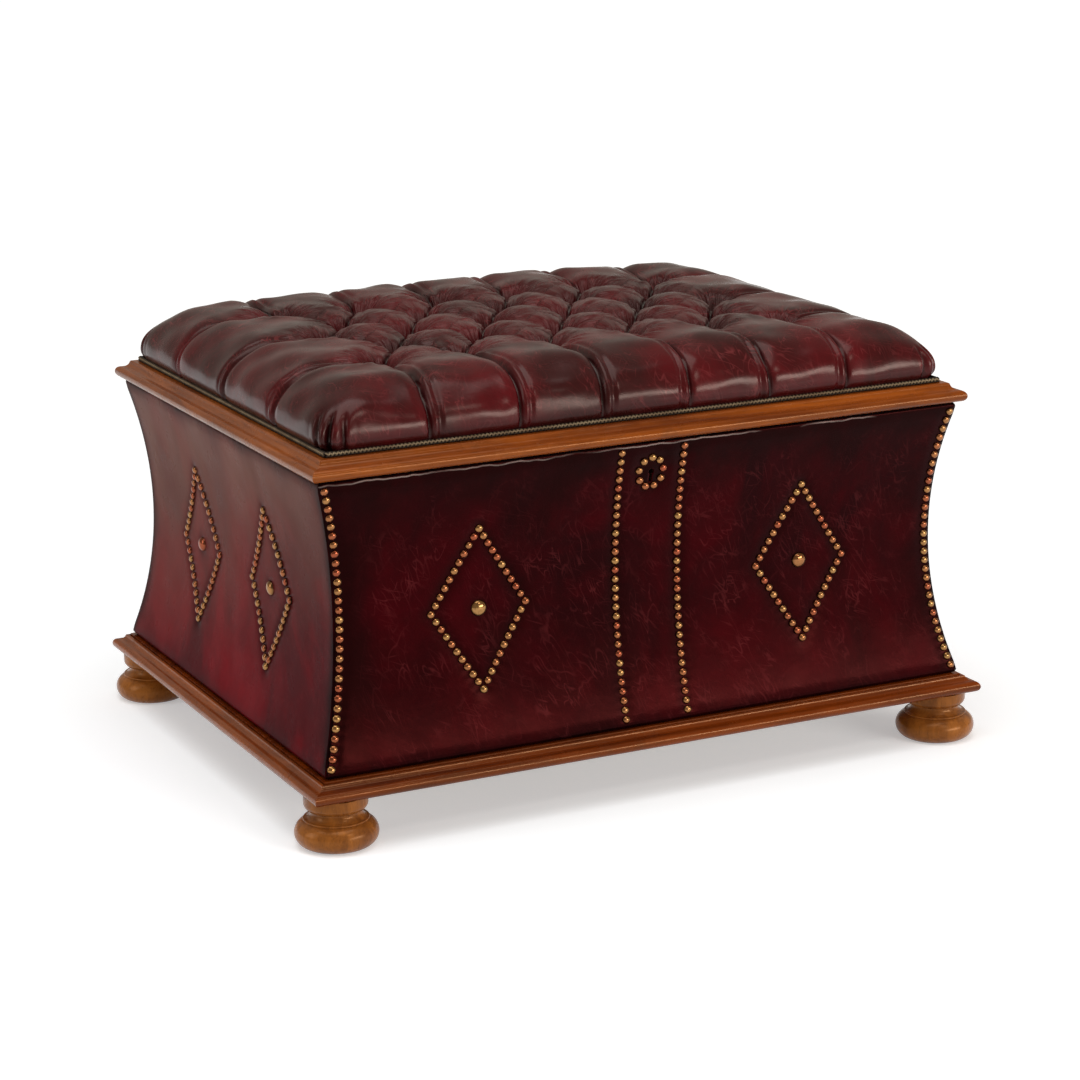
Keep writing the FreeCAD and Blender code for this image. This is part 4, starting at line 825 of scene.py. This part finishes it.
def cushion(material, half_x, half_y, top, bottom):
    """The deep-buttoned leather cushion, one closed skin down to the gimp."""
    rings = cushion_rings(half_x, half_y, top, bottom)
    longest = rings[-1]
    all_points, all_faces, all_data = [], [], []
    start = 0
    for number, (flat, direction, edge, shape) in enumerate(cushion_patches(half_x, half_y, rings)):
        points, outward = plain_cushion(flat, direction, edge, half_x, half_y, top, bottom)
        depth, data = cushion_depth(flat, edge)
        folds = corner_gathers(direction, edge, longest) * (edge > 0)
        depth = depth + folds
        # Painted shade in the corner folds
        data["dark"] = np.maximum(data["dark"], np.clip(folds / 0.0045, 0, 0.9))
        depth = depth - 0.0009 * ripple(points, 0.06, 5) * (1 - smooth(edge, 0.08, longest))
        depth = depth * (1 - smooth(edge, longest - 0.012, longest) * 0.7)
        points = points - outward * depth[:, None]
        wander = np.column_stack([ripple(points, 0.16, 7), ripple(points, 0.16, 8), np.zeros(len(points))])
        points = points + WANDER * wander * (1 - smooth(edge, 0.05, longest))[:, None]
        # Painted shade at the cushion's foot, next to the gimp
        data["dark"] = np.maximum(data["dark"], 0.8 * smooth(edge, longest - 0.020, longest))
        faces = grid_faces(*shape, start)
        if number == 0:
            faces = along_pleats(faces, flat)
        elif number in (2, 3, 5, 8):
            faces = faces[:, ::-1]
        all_points.append(points)
        all_data.append(data)
        all_faces += faces.tolist()
        start += len(points)
    data = {key: np.concatenate([d[key] for d in all_data]) for key in all_data[0]}
    piece = new_piece("cushion_leather", np.concatenate(all_points), all_faces, material, data)
    work = bmesh.new()
    work.from_mesh(piece.data)
    bmesh.ops.remove_doubles(work, verts=work.verts, dist=2e-5)
    bmesh.ops.recalc_face_normals(work, faces=work.faces)
    work.to_mesh(piece.data)
    work.free()
    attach(piece, "lid")
    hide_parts("cushion_cover", "stuffing")
    return piece


def along_pleats(faces, flat):
    """The top's quads as triangles, split the way that the nearest pleat runs."""
    middles = flat[faces].mean(axis=1)
    rising = np.min([to_segment(middles, *ends) for ends in diagonal_pleats(1)], axis=0)
    falling = np.min([to_segment(middles, *ends) for ends in diagonal_pleats(-1)], axis=0)
    a, b, c, d = faces.T
    up = (rising < falling)[:, None]
    first = np.where(up, np.stack([a, b, c], axis=1), np.stack([a, b, d], axis=1))
    second = np.where(up, np.stack([a, c, d], axis=1), np.stack([b, c, d], axis=1))
    return np.concatenate([first, second])


# Gimp braid


def braid(material, half_x, half_y, low):
    """Three plaited strands round the cushion's foot, leaning on it."""
    corners = [(-half_x, -half_y), (half_x, -half_y), (half_x, half_y), (-half_x, half_y)]
    points, faces, tones, start = [], [], [], 0
    ring = np.linspace(0, 2 * math.pi, 9)[:-1]
    slope = math.radians(BRAID_SLOPE)
    outward, upright = math.cos(slope), math.sin(slope)
    for number, corner in enumerate(corners):
        begin, end = np.array(corner), np.array(corners[(number + 1) % 4])
        length = np.linalg.norm(end - begin)
        along = (end - begin) / length
        across = np.array([along[1], -along[0]])
        turns = round(length / BRAID_PITCH)
        travel = np.linspace(0, 1, turns * 12 + 1)
        for strand in range(3):
            phase = 2 * math.pi * (travel * turns + strand / 3)
            side, lift = BRAID_WIDTH * np.sin(phase), BRAID_RISE * np.cos(2 * phase)
            out = lift * upright - side * outward
            level = low + STRAND_RADIUS + BRAID_WIDTH * upright + side * upright + lift * outward
            centre = np.column_stack([begin + travel[:, None] * length * along + out[:, None] * across, level])
            heading = np.gradient(centre, axis=0)
            heading /= np.linalg.norm(heading, axis=1)[:, None]
            sideways = np.cross(heading, [0, 0, 1.0])
            sideways /= np.linalg.norm(sideways, axis=1)[:, None]
            upward = np.cross(sideways, heading)
            tube = centre[:, None, :] + STRAND_RADIUS * (
                np.cos(ring)[None, :, None] * sideways[:, None, :] + np.sin(ring)[None, :, None] * upward[:, None, :]
            )
            closed = np.concatenate([tube, tube[:, :1]], axis=1)
            # The attribute 'tone' is painted shade: light only where a strand lies on top and faces out and up
            facing = np.append(upright * across, outward)
            side_on = (closed - centre[:, None, :]) @ facing / STRAND_RADIUS
            on_top = 0.5 + 0.5 * np.cos(2 * phase)
            tones.append((smooth(side_on, 0.45, 1.0) * smooth(on_top, 0.50, 1.0)[:, None]).ravel())
            points.append(closed.reshape(-1, 3))
            faces.append(grid_faces(len(centre), len(ring) + 1, start))
            start += closed.shape[0] * closed.shape[1]
    data = {"tone": np.concatenate(tones)}
    piece = new_piece("gimp_braid", np.concatenate(points), np.concatenate(faces), material, data)
    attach(piece, "lid")
    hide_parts("gimp")
    return piece


# Stage


def set_camera():
    turn, dip, roll = (math.radians(a) for a in (CAMERA_TURN, CAMERA_DIP, CAMERA_ROLL))
    forward = Vector((-math.sin(turn) * math.cos(dip), math.cos(turn) * math.cos(dip), -math.sin(dip)))
    right = Vector((math.cos(turn), math.sin(turn), 0))
    up = right.cross(forward)
    tilted_right = right * math.cos(roll) + up * math.sin(roll)
    tilted_up = up * math.cos(roll) - right * math.sin(roll)
    camera = bpy.data.objects.new("camera", bpy.data.cameras.new("camera"))
    camera.data.lens = CAMERA_LENS
    camera.data.sensor_width = SENSOR
    camera.data.clip_end = 2 * FLOOR_REACH
    rows = Matrix((tilted_right, tilted_up, -forward)).transposed()
    camera.matrix_world = Matrix.Translation(CAMERA_PLACE) @ rows.to_4x4()
    bpy.context.scene.collection.objects.link(camera)
    bpy.context.scene.camera = camera


def lamp(name, place, target, size, power, colour=(1, 1, 1)):
    light = bpy.data.lights.new(name, "AREA")
    light.shape = "RECTANGLE"
    light.size, light.size_y = size
    light.energy = power
    light.color = colour
    thing = bpy.data.objects.new(name, light)
    aim = Vector(target) - Vector(place)
    thing.matrix_world = Matrix.Translation(place) @ aim.to_track_quat("-Z", "Y").to_matrix().to_4x4()
    bpy.context.scene.collection.objects.link(thing)
    return thing


def seen_directly(tree):
    """1 for rays that should see the white background: camera, mirrored and transmitted rays."""
    path = add(tree, "LightPath").outputs
    seen = calculate(tree, "MAXIMUM", path["Is Camera Ray"], path["Is Glossy Ray"])
    return calculate(tree, "MAXIMUM", seen, path["Is Transmission Ray"])


def set_stage():
    world = bpy.data.worlds.new("studio")
    bpy.context.scene.world = world
    world.use_nodes = True
    tree = world.node_tree
    background = tree.nodes["Background"]
    background.inputs["Color"].default_value = (1.0, 0.91, 0.79, 1)
    background.inputs["Strength"].default_value = WORLD_STRENGTH

    material, tree, shader, place = new_material("floor")
    shader.inputs["Base Color"].default_value = (0.84, 0.875, 0.92, 1)
    shader.inputs["Roughness"].default_value = 0.85
    shader.inputs["Emission Color"].default_value = (0.98, 0.99, 1.0, 1)
    far = add(tree, "VectorMath", {0: place}, operation="LENGTH").outputs["Value"]
    lift = calculate(tree, "MULTIPLY", seen_directly(tree), spread(tree, far, *GLOW_PLACES, *GLOW))
    join(tree, lift, shader, "Emission Strength")
    corners = FLOOR_REACH * np.array([(-1, -1, 0), (1, -1, 0), (1, 1, 0), (-1, 1, 0)], dtype=float)
    floor = new_piece("floor", corners, [(0, 1, 2, 3)], material)

    lamp("overhead", (-0.4, -0.3, 3.0), (0, 0, 0.3), (2.6, 2.2), 46)
    lamp("low_front", (1.7, -3.3, 0.95), (0.1, -0.3, 0.35), (2.4, 0.62), 56, (1.0, 0.96, 0.90))
    lamp("key", (0.6, -2.4, 2.4), (0, 0, 0.3), (0.5, 0.5), 7, (1.0, 0.95, 0.88))
    lamp("left", (-3.0, 0.2, 1.5), (0, 0, 0.25), (1.2, 1.8), 15)


def paint(name_start, material):
    """Gives a material to every CAD node whose name starts so."""
    for name, thing in nodes.items():
        if name.startswith(name_start):
            thing.data.materials.clear()
            thing.data.materials.append(material)


set_camera()
set_stage()
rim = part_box("leather_front")[1].z
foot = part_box("leather_front")[0].z

# Finishes
# The case leather is one leather in lit and shaded copies: the front and back are painted darker with shade, the sides
# painted lighter with light
front_red_painted_shade = leather_material(
    "case_leather_front", (0.008, 0.0007, 0.0015, 1), (0.033, 0.0004, 0.0020, 1), (0.0014, 0.0007, 0.0008, 1),
    0.4, 0.16, 0.22, 1.20, 0.12, rim)
side_red_painted_light = leather_material(
    "case_leather_sides", (0.078, 0.0008, 0.0036, 1), (0.180, 0.0010, 0.0060, 1), (0.006, 0.0016, 0.0020, 1),
    0.25, 0.12, 0.24, 1.065, 0.3)
back_red_painted_shade = leather_material(
    "case_leather_back", (0.022, 0.0010, 0.0026, 1), (0.052, 0.0009, 0.0040, 1), (0.0030, 0.0012, 0.0014, 1),
    0.4, 0.05, 0.24, 1.20, 0.2)
cushion_red = leather_material(
    "cushion_leather", (0.030, 0.0020, 0.0026, 1), (0.082, 0.0012, 0.0038, 1), (0.004, 0.0016, 0.0016, 1),
    0.2, 0.30, 0.19, 1.33, 0.80)
along_x = wood_material("mahogany_x", (0.275, 0.060, 0.004, 1), (0.105, 0.018, 0.002, 1), (1.2, 14, 14))
along_y = wood_material("mahogany_y", (0.310, 0.076, 0.008, 1), (0.120, 0.024, 0.003, 1), (14, 1.2, 14))
# The base mouldings across the front and back, and the base frame, get a darker copy of the base's mahogany: painted
# shade
base_x_painted_shade = wood_material("mahogany_base_x", (0.185, 0.030, 0.001, 1), (0.060, 0.008, 0.001, 1), (1.2, 14, 14))
base_y = wood_material("mahogany_base_y", (0.290, 0.066, 0.010, 1), (0.105, 0.020, 0.003, 1), (14, 1.2, 14))
foot_wood = wood_material("foot_wood", (0.360, 0.120, 0.020, 1), (0.110, 0.032, 0.008, 1), (9, 9, 2.2))
bare_wood = wood_material("bare_wood", (0.52, 0.34, 0.17, 1), (0.34, 0.20, 0.09, 1), (1.2, 14, 14), 0.55)
dark_wood = wood_material("dark_wood", (0.030, 0.011, 0.005, 1), (0.014, 0.005, 0.003, 1), (1.2, 14, 14), 0.55)
nail_metal = nail_material()
hardware = metal_material("hardware", (0.62, 0.44, 0.18, 1), (0.55, 0.37, 0.14, 1), 0.25)
iron = metal_material("iron", (0.050, 0.044, 0.040, 1), (0.036, 0.031, 0.028, 1), 0.5)
steel = metal_material("steel", (0.50, 0.50, 0.51, 1), (0.44, 0.44, 0.46, 1), 0.3)
lining_cloth = cloth_material("lining_cloth", (0.085, 0.010, 0.014, 1), (0.055, 0.007, 0.010, 1), 420.0)
braid_thread = braid_material()
twine = cloth_material("twine", (0.52, 0.42, 0.26, 1), (0.42, 0.33, 0.20, 1), 900.0)

for side in SIDES:
    across = side in ("front", "back")
    paint("base_moulding_" + side, base_x_painted_shade if across else base_y)
    paint("lid_moulding_" + side, along_x if across else along_y)
finishes = (
    (base_x_painted_shade, "base_frame"),
    (along_x, "lid_frame_long"),
    (along_y, "lid_frame_short"),
    (bare_wood, "base_panel", "bent_board", "inner_board", "lower_rails", "ribs", "lid_panel"),
    (dark_wood, "bent_board_front", "rim_rails"),
    (foot_wood, "foot_"),
    (hardware, "nails_", "large_nails", "hinge_", "lock_", "lid_stays", "stay_guides", "case_screws", "lid_screws"),
    (iron, "lock_case"),
    (steel, "lock_bolt"),
    (lining_cloth, "well_lining", "floor_lining", "lid_lining"),
    (cushion_red, "tuft_buttons"),
    (twine, "tuft_ties"),
)
for material, *starts in finishes:
    for start in starts:
        paint(start, material)

# Case leather and its nails, with what the hinges, the lock and the key need cut out of the leather
half_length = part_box("leather_front")[1].x - SPREAD
half_depth = -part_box("leather_front")[0].y - SPREAD
large = islands("large_nails")
for side in SIDES:
    nails = islands("nails_" + side)
    outward = {"front": large[:, 1] < -half_depth + LARGE_NEAR, "left": large[:, 0] < -half_length + LARGE_NEAR,
               "right": large[:, 0] > half_length - LARGE_NEAR, "back": large[:, 1] > half_depth}[side]
    if side in ("left", "right"):
        outward &= large[:, 1] > -half_depth + LARGE_NEAR
    measures = (rim, foot, half_length, half_depth)
    heads = nail_heads("nail_heads_" + side, nails, side, NAIL_RADIUS, NAIL_RISE, nail_metal, *measures)
    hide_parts("nails_" + side)
    if outward.any():
        heads = nail_heads("large_heads_" + side, large[outward], side, LARGE_RADIUS, LARGE_RISE, nail_metal, *measures)
        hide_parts("large_nails")
        nails = np.concatenate([nails, large[outward]])
    piece = case_leather(side, {"front": front_red_painted_shade, "back": back_red_painted_shade}.get(side, side_red_painted_light), nails, *measures)
    thicken(piece, LEATHER)
    if side == "front":
        notch = box_cutter(LOCK_NOTCH_X, (LOCK_NOTCH_FRONT, 0), (rim - LOCK_NOTCH_DEPTH, 0.5))
        cut_away(piece, [keyhole_cutter(half_depth), notch])
    if side == "back":
        level = (rim - HINGE_POCKET_DEPTH, 0.5)
        cut_away(piece, [box_cutter((x - HINGE_HALF, x + HINGE_HALF), HINGE_POCKET, level) for x in HINGE_PLACES])

# Cushion and gimp
cushion_low, cushion_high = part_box("cushion_cover")
cushion(cushion_red, cushion_high.x, cushion_high.y, cushion_high.z, cushion_low.z)
gimp_low, gimp_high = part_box("gimp")
braid(braid_thread, gimp_high.x - GIMP_HALF, gimp_high.y - GIMP_HALF, gimp_low.z)

bpy.context.scene.view_settings.view_transform = "Standard"
